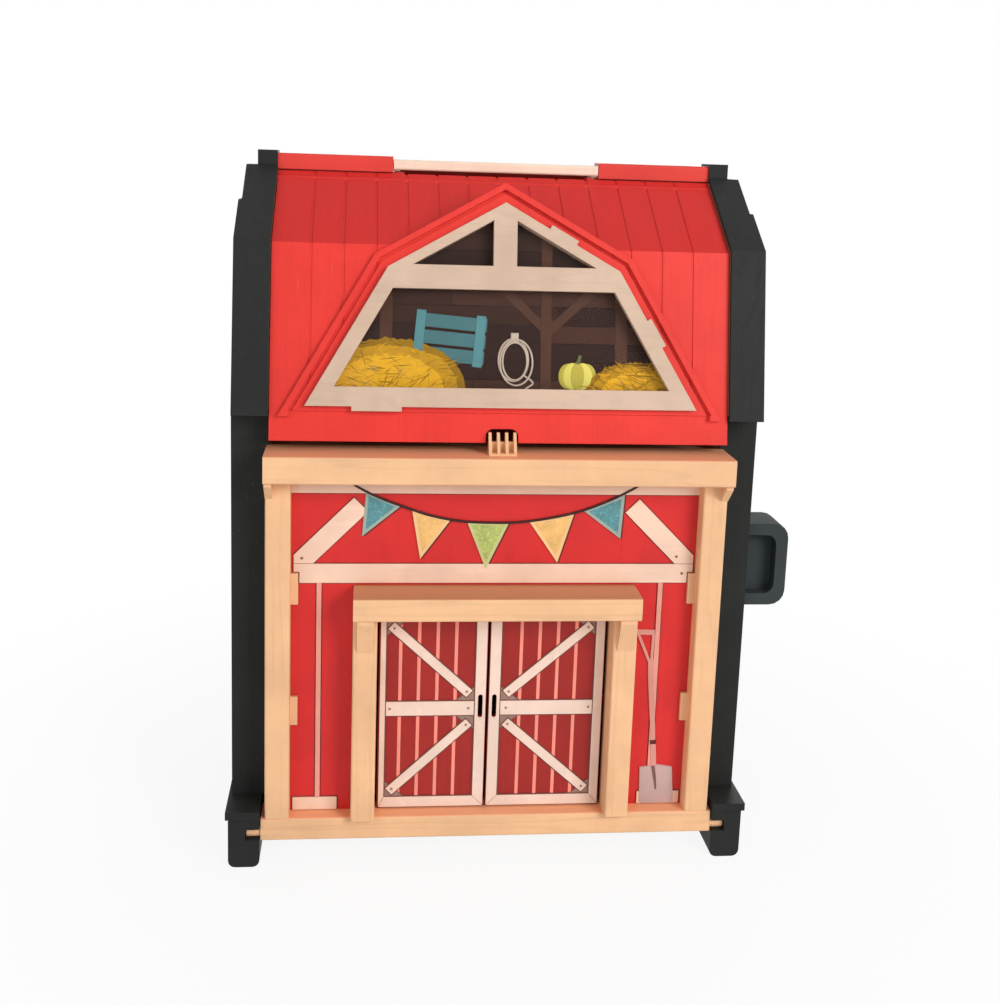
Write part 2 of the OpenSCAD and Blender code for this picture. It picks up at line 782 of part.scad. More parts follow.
module sill_beam() color([0.95, 0.8, 0.62])
    difference() {
        union() {
            beam_x(-sill_half_w, sill_half_w, post_front_y, frame_back_y, sill_z0, sill_z1);
            for (side = [0, 1]) mirror([side, 0, 0])
                pin_x(sill_half_w - 1, sill_half_w + move_gap + hinge_pin_l, hinge_y, hinge_z, hinge_pin_r);
            // ledge that the closed doors stop against
            block(-door_stop_half_w, door_stop_half_w, door_stop_y, portal_back_y, sill_z1 - eps,
                sill_z1 + door_stop_h);
        }
        for (side = [0, 1]) mirror([side, 0, 0])
            pin_z(door_axis_x, leaf_mid_y, sill_z1 - door_pin_l - 0.5, sill_z1 + 1, door_pin_r + pin_play);
    }

tab_reach = 4;
tab_z = [[rail_z0 - 12, rail_z0 + 6], [sill_z1 + 53, sill_z1 + 70]];

module post(side) {
    mirror([side < 0 ? 1 : 0, 0, 0]) {
        beam_z(post_in_x, post_out_x, post_front_y, frame_back_y, sill_z1, header_z0);
        // gusset under the header's overhang
        across(post_out_x - 4, post_out_x)
            polygon([
                [post_front_y + 1, header_z0], [post_front_y - header_out + 2.5, header_z0],
                [post_front_y - header_out + 2.5, header_z0 - 2], [post_front_y, header_z0 - 11],
                [post_front_y + 1, header_z0 - 11]
            ]);
        // tabs that hold the printed card
        for (t = tab_z)
            block(post_in_x - tab_reach, post_in_x + 2, card_front_y - 2.4, card_front_y - 0.2, t[0], t[1]);
    }
}

module left_post() color([0.95, 0.8, 0.62]) post(-1);

module right_post() color([0.95, 0.8, 0.62]) post(1);

module header_beam() color([0.95, 0.8, 0.62])
    beam_x(-header_half_w, header_half_w, header_front_y, frame_back_y, header_z0, header_z1);

module catch_tab() color([0.95, 0.8, 0.62]) {
    pitch = (2 * catch_half_w - catch_rib_w) / (catch_ribs - 1);
    block(-catch_half_w, catch_half_w, catch_back_y - catch_t - catch_foot, catch_back_y,
        header_z1, header_z1 + 1.2);
    block(-catch_half_w, catch_half_w, catch_back_y - catch_t, catch_back_y, header_z1, header_z1 + catch_h - 5);
    for (i = [0 : catch_ribs - 1])
        across(-catch_half_w + i * pitch, -catch_half_w + i * pitch + catch_rib_w)
            polygon([
                [catch_back_y - catch_t - catch_foot + 0.6, header_z1],
                [catch_back_y, header_z1],
                [catch_back_y, header_z1 + catch_h],
                [catch_back_y - 1.6, header_z1 + catch_h],
                [catch_back_y - catch_t - catch_foot + 0.6, header_z1 + 2]
            ]);
}

module door_lintel() color([0.95, 0.8, 0.62])
    difference() {
        union() {
            beam_x(-portal_x, portal_x, lintel_front_y, portal_back_y, doorway_z, lintel_z1);
            block(-door_stop_half_w, door_stop_half_w, door_stop_y, portal_back_y - beam_r,
                doorway_z - door_stop_h, doorway_z + 2);
        }
        for (side = [0, 1]) mirror([side, 0, 0])
            pin_z(door_axis_x, leaf_mid_y, doorway_z - 1, doorway_z + door_pin_l + 0.5, door_pin_r + pin_play);
    }

module jamb(side) {
    mirror([side < 0 ? 1 : 0, 0, 0]) {
        beam_z(doorway_half_w, portal_x, jamb_front_y, portal_back_y, sill_z1, doorway_z);
        mid_x = doorway_half_w + jamb_w / 2;
        across(mid_x - bracket_w / 2, mid_x + bracket_w / 2)
            polygon([
                [jamb_front_y + 1, doorway_z], [jamb_front_y - lintel_out + 1.5, doorway_z],
                [jamb_front_y - lintel_out + 1.5, doorway_z - 2.5], [jamb_front_y, doorway_z - bracket_h],
                [jamb_front_y + 1, doorway_z - bracket_h]
            ]);
    }
}

module left_jamb() color([0.95, 0.8, 0.62]) jamb(-1);

module right_jamb() color([0.95, 0.8, 0.62]) jamb(1);

// Outline of the panel and its card: the field between the posts, less the doorway
function panel_outline(edge) = [
    [-post_in_x + edge, sill_z1], [-portal_x - edge, sill_z1], [-portal_x - edge, lintel_z1 + edge],
    [portal_x + edge, lintel_z1 + edge], [portal_x + edge, sill_z1], [post_in_x - edge, sill_z1],
    [post_in_x - edge, header_z0], [-post_in_x + edge, header_z0]
];

module front_panel() color([0.75, 0.15, 0.14])
    along(panel_front_y, panel_back_y) polygon(panel_outline(0));

module front_card() color([0.82, 0.2, 0.2])
    along(card_front_y, panel_front_y) polygon(panel_outline(0.2));

module panel_trim() color([0.95, 0.82, 0.75]) {
    edge_x = post_in_x - tab_reach - 0.6;
    base_x = post_in_x - 1.5;
    raised() polygon(box_points(-edge_x, rail_z0, edge_x, rail_z1));
    raised() polygon(box_points(-post_in_x + 0.5, header_z0 - 10, post_in_x - 0.5, header_z0 - 0.5));
    for (s = [-1, 1]) {
        intersection() {
            raised() bar([s * (post_in_x + 1), rail_z1 - 5], [s * (post_in_x - 38), header_z0 - 16.5], brace_w);
            raised() polygon(box_points(-post_in_x + 0.5, rail_z1 - 0.5, post_in_x - 0.5, header_z0));
        }
        raised() polygon(box_points(s * batten_x - batten_shift - batten_w / 2, sill_z1 + 1,
            s * batten_x - batten_shift + batten_w / 2, rail_z0 + 1));
        raised() polygon(box_points(min(s * base_x, s * (portal_x + 8)), sill_z1 + 0.5,
            max(s * base_x, s * (portal_x + 8)), sill_z1 + baseboard_h));
    }
}

// Trim that stands out from the card's plane
module raised() {
    along(card_front_y - trim_t, card_front_y) children();
}

// Doors

// A right-hand leaf whose meeting edge lies past the middle by shift
module leaf(shift) {
    difference() {
        union() {
            block(leaf_gap / 2 + shift, door_axis_x, leaf_mid_y - leaf_t / 2, leaf_mid_y + leaf_t / 2, leaf_z0, leaf_z1);
            pin_z(door_axis_x, leaf_mid_y, leaf_z0, leaf_z1, leaf_t / 2);
            pin_z(door_axis_x, leaf_mid_y, sill_z1 - door_pin_l, doorway_z + door_pin_l, door_pin_r);
        }
        finger_slot(shift, leaf_mid_y - leaf_t, leaf_mid_y + leaf_t);
    }
}

module finger_slot(shift, y0, y1) {
    half = (slot_l - slot_w) / 2;
    along(y0, y1) {
        for (s = [-half, half])
            translate([slot_x + shift, door_rail_z + slot_up + s]) circle(r = slot_w / 2, $fn = 24);
        translate([slot_x + shift - slot_w / 2, door_rail_z + slot_up - half]) square([slot_w, 2 * half]);
    }
}

module leaf_trim(shift) {
    z0 = leaf_z0 + 0.3;
    z1 = leaf_z1 - 0.3;
    x0 = trim_in_x + shift;
    x1 = trim_out_x;
    side_w = hinge_stile_w - shift;
    difference() {
        union() {
            raised() difference() {
                polygon(box_points(x0, z0, x1, z1));
                polygon(box_points(x0 + stile_w, z0 + stile_w, x1 - side_w, z1 - stile_w));
            }
            raised() polygon(box_points(x0 + 1, door_rail_z - door_rail_w / 2, x1 - 1, door_rail_z + door_rail_w / 2));
            for (s = [-1, 1])
                intersection() {
                    raised() polygon(box_points(x0, z0, x1, z1));
                    raised() bar([x1 - side_w + 2.8, s > 0 ? z1 - 6 : z0 + 6],
                        [x0 + stile_w - 1, door_rail_z + 6 * s], door_brace_w);
                }
        }
        finger_slot(shift, card_front_y - 2, card_front_y + 1);
    }
}

module left_door() color([0.66, 0.2, 0.17]) mirror([1, 0, 0]) leaf(door_shift);

module right_door() color([0.66, 0.2, 0.17]) leaf(-door_shift);

module left_door_trim() color([0.93, 0.84, 0.8]) mirror([1, 0, 0]) leaf_trim(door_shift);

module right_door_trim() color([0.93, 0.84, 0.8]) leaf_trim(-door_shift);

// Roof front: folded moulding with the dormer, hinged below the ridge cap

// Everything inside the roof's outer line, drawn in a little so that the dormer grows out of the sheet
function roof_core() = let (c = roof_line(-1, sheet_end_y - 3))
    concat([[deep, eave_z - 40], [-eave_y + 1, eave_z - 40]], c, [[deep, c[2][1]]]);

// The triangle of the dormer above a height s0 on the slope, drawn in by d
function gable(d, s0) =
    let (p = inset(dormer, d, d), q = meet(p[2], p[3] - p[2], [0, s0], [1, 0]))
    [[-q[0], s0], q, p[3]];

module dormer_ring(n0, n1, d0, d1) {
    on_slope(n0, n1)
        difference() {
            polygon(inset(dormer, d0, d0));
            polygon(inset(dormer, d1, d1));
        }
}

module roof_front() color([0.86, 0.21, 0.18])
    difference() {
        union() {
            difference() {
                across(-panel_half_w, panel_half_w) polygon(roof_sheet(sheet_end_y));
                // the band below the dormer is plain
                roof_grooves(panel_half_w, sheet_end_y, eave_z + dormer_foot_s + 8);
            }
            // raised rib, open at its foot
            difference() {
                dormer_ring(-roof_t / 2, rib_h, 0, rib_w);
                on_slope(-roof_t, rib_h + 1)
                    polygon(box_points(-dormer_foot_x + rib_w + 3, dormer_foot_s - 1,
                        dormer_foot_x - rib_w - 3, dormer_foot_s + rib_w + 1));
            }
            // seat of the window frame
            on_slope(-roof_t / 2, seat_h) polygon(inset(dormer, rib_w + rib_gap, rib_w + rib_gap - 2));
            // the dormer's own walls and face above the bend, back to the upper slope
            difference() {
                on_slope(-deep, -0.3) polygon(gable(0.2, dormer_shoulder_s + 2));
                on_slope(-deep - 1, -roof_t) polygon(gable(0.2 + roof_t, dormer_shoulder_s - 5));
                across(-panel_half_w - 1, panel_half_w + 1) polygon(roof_core());
            }
            // hinge barrel and its pins
            pin_x(-panel_half_w, panel_half_w, roof_axis_y, roof_axis_z, roof_barrel_r);
            for (side = [0, 1]) mirror([side, 0, 0])
                pin_x(panel_half_w - 1, room_half + roof_pin_l, roof_axis_y, roof_axis_z, roof_pin_r);
        }
        on_slope(-card_depth + seat_h - card_t - 0.3, rib_h + 2) polygon(hole_outline);
        // arch for the catch
        along(-eave_y - 5, -eave_y + 12)
            polygon(concat(
                [[-arch_half_w, eave_z - 5], [arch_half_w, eave_z - 5]],
                corner_arc([arch_half_w, eave_z], [arch_half_w, arch_z], [-arch_half_w, arch_z], 4),
                corner_arc([arch_half_w, arch_z], [-arch_half_w, arch_z], [-arch_half_w, eave_z], 4)
            ));
    }

module window_frame() color([0.94, 0.8, 0.66]) {
    peak = frame_open[3][1];
    on_slope(seat_h, seat_h + frame_t) {
        difference() {
            polygon(frame_outline);
            polygon(frame_open);
        }
        intersection() {
            polygon(frame_outline);
            union() {
                polygon(box_points(-dormer_foot_x, cross_s - cross_w / 2, dormer_foot_x, cross_s + cross_w / 2));
                polygon(box_points(-mullion_w / 2, cross_s, mullion_w / 2, peak + 4));
            }
        }
        // snap tabs on the frame's edge
        for (t = frame_tabs) frame_tab(frame_outline[t[0]], frame_outline[t[1]], t[2], t[3]);
    }
    // skirt that reaches through the roof and carries the card
    on_slope(seat_h - card_depth, seat_h + 0.5)
        difference() {
            polygon(skirt_outline);
            polygon(inset(skirt_outline, skirt_t, skirt_t));
        }
}

// Edge from corner to corner, share of its length and length of each snap tab
frame_tabs = [[2, 3, 0.5, 17], [1, 2, 0.55, 17], [0, 1, 0.18, 27]];

module frame_tab(a, b, share, l) {
    u = unit(b - a);
    out = [u[1], -u[0]];
    mid = a + (b - a) * share;
    bar(mid - u * l / 2 + out * 0.5, mid + u * l / 2 + out * 0.5, 4);
}

module window_pane() color([0.8, 0.85, 0.88, 0.35])
    on_slope(seat_h - pane_t, seat_h) polygon(inset(skirt_outline, skirt_t + 0.2, skirt_t + 0.2));

module loft_card() color([0.3, 0.2, 0.15])
    on_slope(seat_h - card_depth - card_t, seat_h - card_depth) polygon(skirt_outline);

set_down() left_end_wall();
set_down() right_end_wall();
set_down() left_wall_liner();
set_down() right_wall_liner();
set_down() front_left_foot();
set_down() front_right_foot();
set_down() rear_left_foot();
set_down() rear_right_foot();
set_down() ground_floor();
set_down() loft_floor();
set_down() back_wall();
set_down() rear_roof();
set_down() ridge_beam();
set_down() ridge_cap_left();
set_down() ridge_cap_right();
set_down() side_grip();
set_down() wall_screws();
set_down() sill_beam();
set_down() left_post();
set_down() right_post();
set_down() header_beam();
set_down() catch_tab();
set_down() door_lintel();
set_down() left_jamb();
set_down() right_jamb();
set_down() front_panel();
set_down() front_card();
set_down() panel_trim();
set_down() left_door();
set_down() left_door_trim();
set_down() right_door();
set_down() right_door_trim();
set_down() roof_front();
set_down() window_frame();
set_down() window_pane();
set_down() loft_card();
set_down() carry_handle();
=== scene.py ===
import math
import random

import bmesh
import bpy
from bpy.props import FloatProperty, FloatVectorProperty, IntProperty, PointerProperty
from bpy.types import Operator, Panel, PropertyGroup
from mathutils import Matrix, Vector


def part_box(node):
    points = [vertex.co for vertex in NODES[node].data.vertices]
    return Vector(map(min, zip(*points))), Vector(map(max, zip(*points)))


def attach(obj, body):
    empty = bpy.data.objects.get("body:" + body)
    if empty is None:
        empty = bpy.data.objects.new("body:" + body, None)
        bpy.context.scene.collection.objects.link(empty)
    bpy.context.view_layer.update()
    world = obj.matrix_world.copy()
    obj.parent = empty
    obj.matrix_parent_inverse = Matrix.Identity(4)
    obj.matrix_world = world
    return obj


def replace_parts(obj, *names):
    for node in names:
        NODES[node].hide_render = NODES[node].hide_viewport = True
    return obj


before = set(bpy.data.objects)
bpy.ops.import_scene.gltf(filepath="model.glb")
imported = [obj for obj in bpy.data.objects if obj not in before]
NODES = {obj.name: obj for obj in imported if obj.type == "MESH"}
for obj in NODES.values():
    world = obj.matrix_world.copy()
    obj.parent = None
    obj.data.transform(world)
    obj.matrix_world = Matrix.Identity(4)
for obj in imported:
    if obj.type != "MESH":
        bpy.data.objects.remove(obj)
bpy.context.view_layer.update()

bl_info = {
    "name": "Toy Barn",
    "version": (1, 0, 0),
    "blender": (4, 5, 0),
    "location": "3D View > Sidebar > Barn",
    "description": "Finishes, printed details and stage of a toy barn with opening doors",
    "category": "Object",
}

MM = 0.001

# The barn's own middle plane and ridge plane in the frame, in millimetres
MID_X = sum(c.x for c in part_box("header_beam")) / 2 / MM
RIDGE_Y = sum(c.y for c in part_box("ridge_beam")) / 2 / MM

# Planes and heights of the front wall, in the barn's own millimetres
CARD_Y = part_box("front_card")[0].y / MM - RIDGE_Y
TRIM_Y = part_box("panel_trim")[0].y / MM - RIDGE_Y
HEADER_Z0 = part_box("header_beam")[0].z / MM
LINTEL_Z1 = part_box("door_lintel")[1].z / MM
SILL_Z1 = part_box("left_post")[0].z / MM
TAB_X = MID_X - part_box("left_post")[1].x / MM
POST_IN_X = TAB_X + 4.0
DOOR_RAIL_Z = 89.55

# How far prints and boards reach into the card that carries them
PRINT_SUNK = 0.05
BOARD_SUNK = 0.02

# The steep slope that carries the window, and the loft card's face below its outer face
EAVE_Y, EAVE_Z = -84.0, 246.5
STEEP = math.atan2(105, 20)
CARD_N = -3.8

# Directions of wood grain: stretches of the noise along x, y and z
LEVEL_GRAIN = (11, 210, 250)
UPRIGHT_GRAIN = (250, 210, 11)

# Rays that see the room as white
SEEN_RAYS = ("Is Camera Ray", "Is Glossy Ray", "Is Transmission Ray")


def linear(value):
    """The linear share of a 0 to 255 screen value."""
    share = value / 255
    return share / 12.92 if value <= 10 else ((share + 0.055) / 1.055) ** 2.4


def srgb(*values):
    """A linear colour from 0 to 255 screen values."""
    return tuple(linear(value) for value in values)


def at(x, y, z):
    """A point of the barn's own millimetres, in the frame's metres."""
    return Vector((x + MID_X, y + RIDGE_Y, z)) * MM


def on_card(x, z, y):
    """A point of the front wall, given as x, z and depth."""
    return at(x, y, z)


def on_slope(x, s, n):
    """A point x across, s up the steep slope and n above its outer face."""
    along, out = math.cos(STEEP), math.sin(STEEP)
    return at(x, EAVE_Y + s * along - n * out, EAVE_Z + s * out + n * along)


class Wire:
    """A socket of a finish; arithmetic on it adds Math nodes."""

    def __init__(self, finish, socket):
        self.finish = finish
        self.socket = socket

    def math(self, operation, *values, clamp=False):
        """A Math node on the values, the wire itself among them."""
        settings = {"operation": operation, "use_clamp": clamp}
        return self.finish.node("ShaderNodeMath", settings, dict(enumerate(values)))

    def __add__(self, other):
        return self.math("ADD", self, other)

    def __radd__(self, other):
        return self.math("ADD", other, self)

    def __sub__(self, other):
        return self.math("SUBTRACT", self, other)

    def __rsub__(self, other):
        return self.math("SUBTRACT", other, self)

    def __mul__(self, other):
        return self.math("MULTIPLY", self, other)

    def __rmul__(self, other):
        return self.math("MULTIPLY", other, self)

    def limited(self):
        """The value kept between 0 and 1."""
        return self.math("ADD", self, 0.0, clamp=True)

    def step(self, low, high):
        """0 below low, 1 above high, smooth between."""
        sockets = {"Value": self, "From Min": low, "From Max": high}
        return self.finish.node("ShaderNodeMapRange", {"interpolation_type": "SMOOTHSTEP"}, sockets)


class Finish:
    """A node-based material, or the nodes of the world that is given."""

    def __init__(self, name, world=None):
        self.material = world or bpy.data.materials.new(name)
        self.material.use_nodes = True
        self.tree = self.material.node_tree
        self.tree.nodes.clear()

    def node(self, kind, settings=None, sockets=None, out=0):
        """Adds a node: its settings first, then the values or links of its sockets."""
        node = self.tree.nodes.new(kind)
        for key, value in (settings or {}).items():
            setattr(node, key, value)
        for key, value in (sockets or {}).items():
            if isinstance(value, Wire):
                self.tree.links.new(value.socket, node.inputs[key])
            else:
                node.inputs[key].default_value = value
        return Wire(self, node.outputs[out]) if node.outputs else None

    def seen(self):
        """1 for the rays that see the room as white, 0 for the others."""
        return sum(self.node("ShaderNodeLightPath", out=kind) for kind in SEEN_RAYS).limited()

    def place(self):
        """The point in the piece's own metres."""
        return self.node("ShaderNodeTexCoord", out="Object")

    def part(self, vector, axis):
        """One number of a vector: 0, 1 or 2."""
        return self.node("ShaderNodeSeparateXYZ", None, {0: vector}, out=axis)

    def stretched(self, vector, scales):
        return self.node("ShaderNodeVectorMath", {"operation": "MULTIPLY"}, {0: vector, 1: scales})

    def noise(self, vector, scale=1.0, detail=2.0, rough=0.5):
        sockets = {"Vector": vector, "Scale": scale, "Detail": detail, "Roughness": rough}
        return self.node("ShaderNodeTexNoise", None, sockets, out="Fac")

    def mix(self, factor, low, high):
        """Colour low where factor is 0, high where it is 1."""
        low, high = (c if isinstance(c, Wire) else (*c[:3], 1.0) for c in (low, high))
        settings = {"data_type": "RGBA", "clamp_factor": True}
        return self.node("ShaderNodeMix", settings, {0: factor, 6: low, 7: high}, out=2)

    def rounded(self, radius=0.0004):
        """The normal with the edges rounded by radius."""
        return self.node("ShaderNodeBevel", {"samples": 4}, {"Radius": radius})

    def edges(self, rounded, gain=8.0):
        """1 along the edges, 0 on the flats."""
        normals = {0: rounded, 1: self.node("ShaderNodeNewGeometry", out="Normal")}
        dot = self.node("ShaderNodeVectorMath", {"operation": "DOT_PRODUCT"}, normals, out="Value")
        return ((1 - dot) * gain).limited()

    def bump(self, height, depth, normal=None):
        """The normal pushed about by a height, depth metres for a height of 1."""
        sockets = {"Height": height, "Distance": depth, "Strength": 1.0}
        if normal:
            sockets["Normal"] = normal
        return self.node("ShaderNodeBump", None, sockets)

    def surface(self, **sockets):
        """Ends the finish in a Principled BSDF; socket names are given with _ for a space."""
        named = {key.replace("_", " "): value for key, value in sockets.items()}
        for key, value in named.items():
            if isinstance(value, tuple) and len(value) == 3:
                named[key] = (*value, 1.0)
        shader = self.node("ShaderNodeBsdfPrincipled", None, named)
        self.node("ShaderNodeOutputMaterial", None, {"Surface": shader})
        return self.material


def scaled(colour, factor):
    """A colour made lighter or darker, no channel past 1."""
    return tuple(min(1.0, c * factor) for c in colour)


def moulded(name, colour, rough, grain=None, grain_depth=0.06, grain_tone=0.14, worn=None, top=None,
            cloud=0.09, gloss=0.25):
    """Moulded plastic: faint clouds in the colour, fine moulded texture, optional wood grain along one
    axis, rubbed edges, and an optional second colour on the faces that look up as painted shade, a colour
    that stands in for the light they get."""
    f = Finish(name)
    place = f.place()
    normal = f.rounded()
    edge = f.edges(normal)
    clouds = f.noise(place, 24, 4, 0.6)
    texture = f.noise(place, 1900, 2)
    colour_now = f.mix(clouds.step(0.25, 0.75), scaled(colour, 1 - cloud), scaled(colour, 1 + cloud))
    height = texture * 0.25
    rough_now = rough - 0.06 + clouds * 0.12
    if grain:
        fibres = f.noise(f.stretched(place, grain), 1, 5, 0.62)
        lines = f.noise(f.stretched(place, tuple(g * 0.33 for g in grain)), 1, 2, 0.4)
        rings = lines.math("SINE", lines * 34).step(0.72, 1.0)
        pores = fibres.step(0.52, 0.72) * 0.7 + rings * 0.5
        colour_now = f.mix(pores * grain_tone * 3, colour_now, scaled(colour, 0.62))
        height = height - pores * (grain_depth / 0.03)
        rough_now = rough_now + pores * 0.08
    # painted shade: faces that look up take a second colour that stands in for the light they get, not the
    # plastic's own colour
    if top:
        up = f.part(f.node("ShaderNodeTexCoord", out="Normal"), 2)
        painted_top_shade = f.mix(fibres, scaled(top, 0.92), scaled(top, 1.08))
        colour_now = f.mix(up.step(0.5, 0.8), colour_now, painted_top_shade)
    rub = edge * f.noise(place, 85, 5, 0.7).step(0.42, 0.66)
    colour_now = f.mix(rub * 0.3, colour_now, worn or scaled(colour, 1.5))
    scratch = f.noise(f.stretched(place, (700, 90, 60)), 1, 2).step(0.735, 0.77)
    scratch = scratch * f.noise(place, 12).step(0.5, 0.7)
    colour_now = f.mix(scratch * 0.25, colour_now, worn or scaled(colour, 1.4))
    dust = f.noise(place, 420, 3).step(0.66, 0.8)
    colour_now = f.mix(dust * 0.035, colour_now, srgb(214, 204, 188))
    return f.surface(
        Base_Color=colour_now,
        Roughness=(rough_now + rub * 0.12 + scratch * 0.1).limited(),
        Normal=f.bump(height, 0.00003, normal),
        IOR=1.5,
        Specular_IOR_Level=gloss,
    )


def printed(name, colour, rough=0.42, grain=None, tone=0.16, mottle=0.06, deep=None, gloss=0.3):
    """Printed and varnished card: dots of ink, brush strokes along one axis, a little sheen."""
    f = Finish(name)
    place = f.place()
    normal = f.rounded(0.00015)
    wash = f.noise(place, 38, 3, 0.55)
    ink = f.noise(place, 1300, 2)
    colour_now = f.mix(wash.step(0.3, 0.7), scaled(colour, 1 - mottle), scaled(colour, 1 + mottle))
    colour_now = f.mix(ink.step(0.55, 0.75) * 0.09, colour_now, scaled(colour, 0.7))
    height = ink * 0.4
    if grain:
        strokes = f.noise(f.stretched(place, grain), 1, 4, 0.6)
        dark = strokes.step(0.56, 0.74)
        light = 1 - strokes.step(0.3, 0.42)
        colour_now = f.mix(dark * tone * 2.5, colour_now, deep or scaled(colour, 0.6))
        colour_now = f.mix(light * 0.3, colour_now, scaled(colour, 1.25))
        height = height + strokes * 0.3
    edge = f.edges(normal, 5) * f.noise(place, 160, 3).step(0.5, 0.7)
    colour_now = f.mix(edge * 0.35, colour_now, srgb(236, 226, 214))
    return f.surface(
        Base_Color=colour_now,
        Roughness=(rough + wash * 0.1 - 0.05 + ink * 0.04).limited(),
        Normal=f.bump(height, 0.00002, normal),
        IOR=1.48,
        Specular_IOR_Level=gloss,
    )


def paint(names, material):
    """Gives CAD nodes a finish, in all their material slots."""
    for name in names:
        mesh = NODES[name].data
        if not mesh.materials:
            mesh.materials.append(material)
        for i in range(len(mesh.materials)):
            mesh.materials[i] = material


def piece(name, bm, materials, body):
    """Makes an object of a bmesh in the frame's metres, and lets it ride on a body."""
    mesh = bpy.data.meshes.new(name)
    bmesh.ops.remove_doubles(bm, verts=bm.verts, dist=1e-7)
    bmesh.ops.recalc_face_normals(bm, faces=bm.faces)
    bm.to_mesh(mesh)
    bm.free()
    for material in materials if isinstance(materials, (list, tuple)) else [materials]:
        mesh.materials.append(material)
    made = bpy.data.objects.new(name, mesh)
    bpy.context.scene.collection.objects.link(made)
    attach(made, body)
    return made


def grown(outline, d, base=None):
    """A counter-clockwise convex outline moved outwards by d, and by base on its first edge."""
    n = len(outline)
    out = []
    for i in range(n):
        a, b, c = (Vector(outline[(i + k) % n]) for k in (-1, 0, 1))
        u, v = (b - a).normalized(), (c - b).normalized()
        du = base if base is not None and i == 1 else d
        dv = base if base is not None and i == 0 else d
        p = a + du * Vector((u.y, -u.x))
        q = b + dv * Vector((v.y, -v.x))
        cross = u.x * v.y - u.y * v.x
        w = q - p
        out.append(tuple(p + u * ((w.x * v.y - w.y * v.x) / cross)))
    return out


def strip(a, b, width):
    """The four corners of a straight strip from a to b."""
    a, b = Vector(a), Vector(b)
    u = (b - a).normalized() * width / 2
    n = Vector((u.y, -u.x))
    return [tuple(p) for p in (a + n, b + n, b - n, a - n)]


def rectangle(x0, z0, x1, z1):
    """An upright rectangle, counter-clockwise."""
    x0, x1 = sorted((x0, x1))
    return [(x0, z0), (x1, z0), (x1, z1), (x0, z1)]


def flipped(s, outline):
    """The outline on side s of the barn, 1 or -1, kept counter-clockwise."""
    return outline if s > 0 else [(-x, z) for x, z in reversed(outline)]


def disc(cx, cz, rx, rz=None, steps=20):
    """A circle or ellipse."""
    turn = 2 * math.pi / steps
    return [(cx + rx * math.cos(i * turn), cz + (rz or rx) * math.sin(i * turn)) for i in range(steps)]


def add_plate(bm, outline, back, front, where, slot=0, round_edge=0.0):
    """Adds a flat plate: its outline at depth back and at depth front, placed by where(x, z, depth).
    A rounded plate is slightly smaller at its front."""
    levels = [(outline, back), (outline, front)]
    if round_edge:
        centre = sum((Vector(p) for p in outline), Vector((0, 0))) / len(outline)
        ways = [Vector(p) - centre for p in outline]
        small = [centre + way * max(0.0, 1 - round_edge / max(way.length, 1e-6)) for way in ways]
        levels[1:] = [(outline, front + (back - front) * 0.45), (small, front)]
    rings = [[bm.verts.new(where(x, z, depth)) for x, z in ring] for ring, depth in levels]
    faces = [bm.faces.new(rings[0]), bm.faces.new(rings[-1][::-1])]
    for low, high in zip(rings, rings[1:]):
        for i in range(len(outline)):
            faces.append(bm.faces.new((low[i - 1], low[i], high[i], high[i - 1])))
    for face in faces:
        face.material_index = slot


def cut(outline, x_max, z_min):
    """A convex outline without what lies beyond x_max on either side or below z_min."""
    for axis, sign, limit in ((0, 1, x_max), (0, -1, x_max), (1, -1, -z_min)):
        kept = []
        for i, p in enumerate(outline):
            q = outline[(i + 1) % len(outline)]
            inside_p, inside_q = limit - sign * p[axis], limit - sign * q[axis]
            if inside_p >= 0:
                kept.append(p)
            if (inside_p >= 0) != (inside_q >= 0):
                share = inside_p / (inside_p - inside_q)
                kept.append(tuple(a + (b - a) * share for a, b in zip(p, q)))
        outline = kept
    return outline


def panel_trims():
    """The boards of the panel: outlines in x and z, each with 0 where it is pale and 1 where it is pink."""
    low, high = LINTEL_Z1 + 1.5, LINTEL_Z1 + 12.5
    # the rail's ends are notched round the posts' tabs
    inner, outer, notch = TAB_X - 0.6, POST_IN_X - 1.4, low + 6.4
    brace_w, line, board_h = 11, 0.3, 8
    parts = [
        ([(-inner, low), (inner, low), (inner, notch), (outer, notch), (outer, high),
          (-outer, high), (-outer, notch), (-inner, notch)], 0),
        (rectangle(-POST_IN_X, HEADER_Z0 - 10, POST_IN_X, HEADER_Z0), 0),
    ]
    for s in (-1, 1):
        ends = [(s * (POST_IN_X + 1), high - 5), (s * (POST_IN_X - 38), HEADER_Z0 - 16.5)]
        brace = strip(*(ends if s > 0 else reversed(ends)), brace_w)
        parts.append((cut(brace, outer, high + line), 0))
        batten = s * 96.5 - 2.1
        parts.append((rectangle(batten - 1.3, SILL_Z1 + board_h + line, batten + 1.4, low - 0.1), 1))
        parts.append((rectangle(s * (POST_IN_X - 1.5), SILL_Z1 + 0.5, s * 87.5, SILL_Z1 + board_h), 0))
    return parts


def add_flat(bm, outline, height, slot=0):
    """Adds a flat plate on the front card, height above it."""
    add_plate(bm, outline, CARD_Y + PRINT_SUNK, CARD_Y - height, on_card, slot)


def add_board(bm, outline, slot=0):
    """Adds a board on the front card, as thick as the panel's trim."""
    add_plate(bm, outline, CARD_Y + BOARD_SUNK, TRIM_Y, on_card, slot)


def add_print(bm, outline, lift, slot=0):
    """Adds a print that lies on the panel and on its trim alike, lift above the trim."""
    add_plate(bm, outline, CARD_Y + PRINT_SUNK, TRIM_Y - lift, on_card, slot)


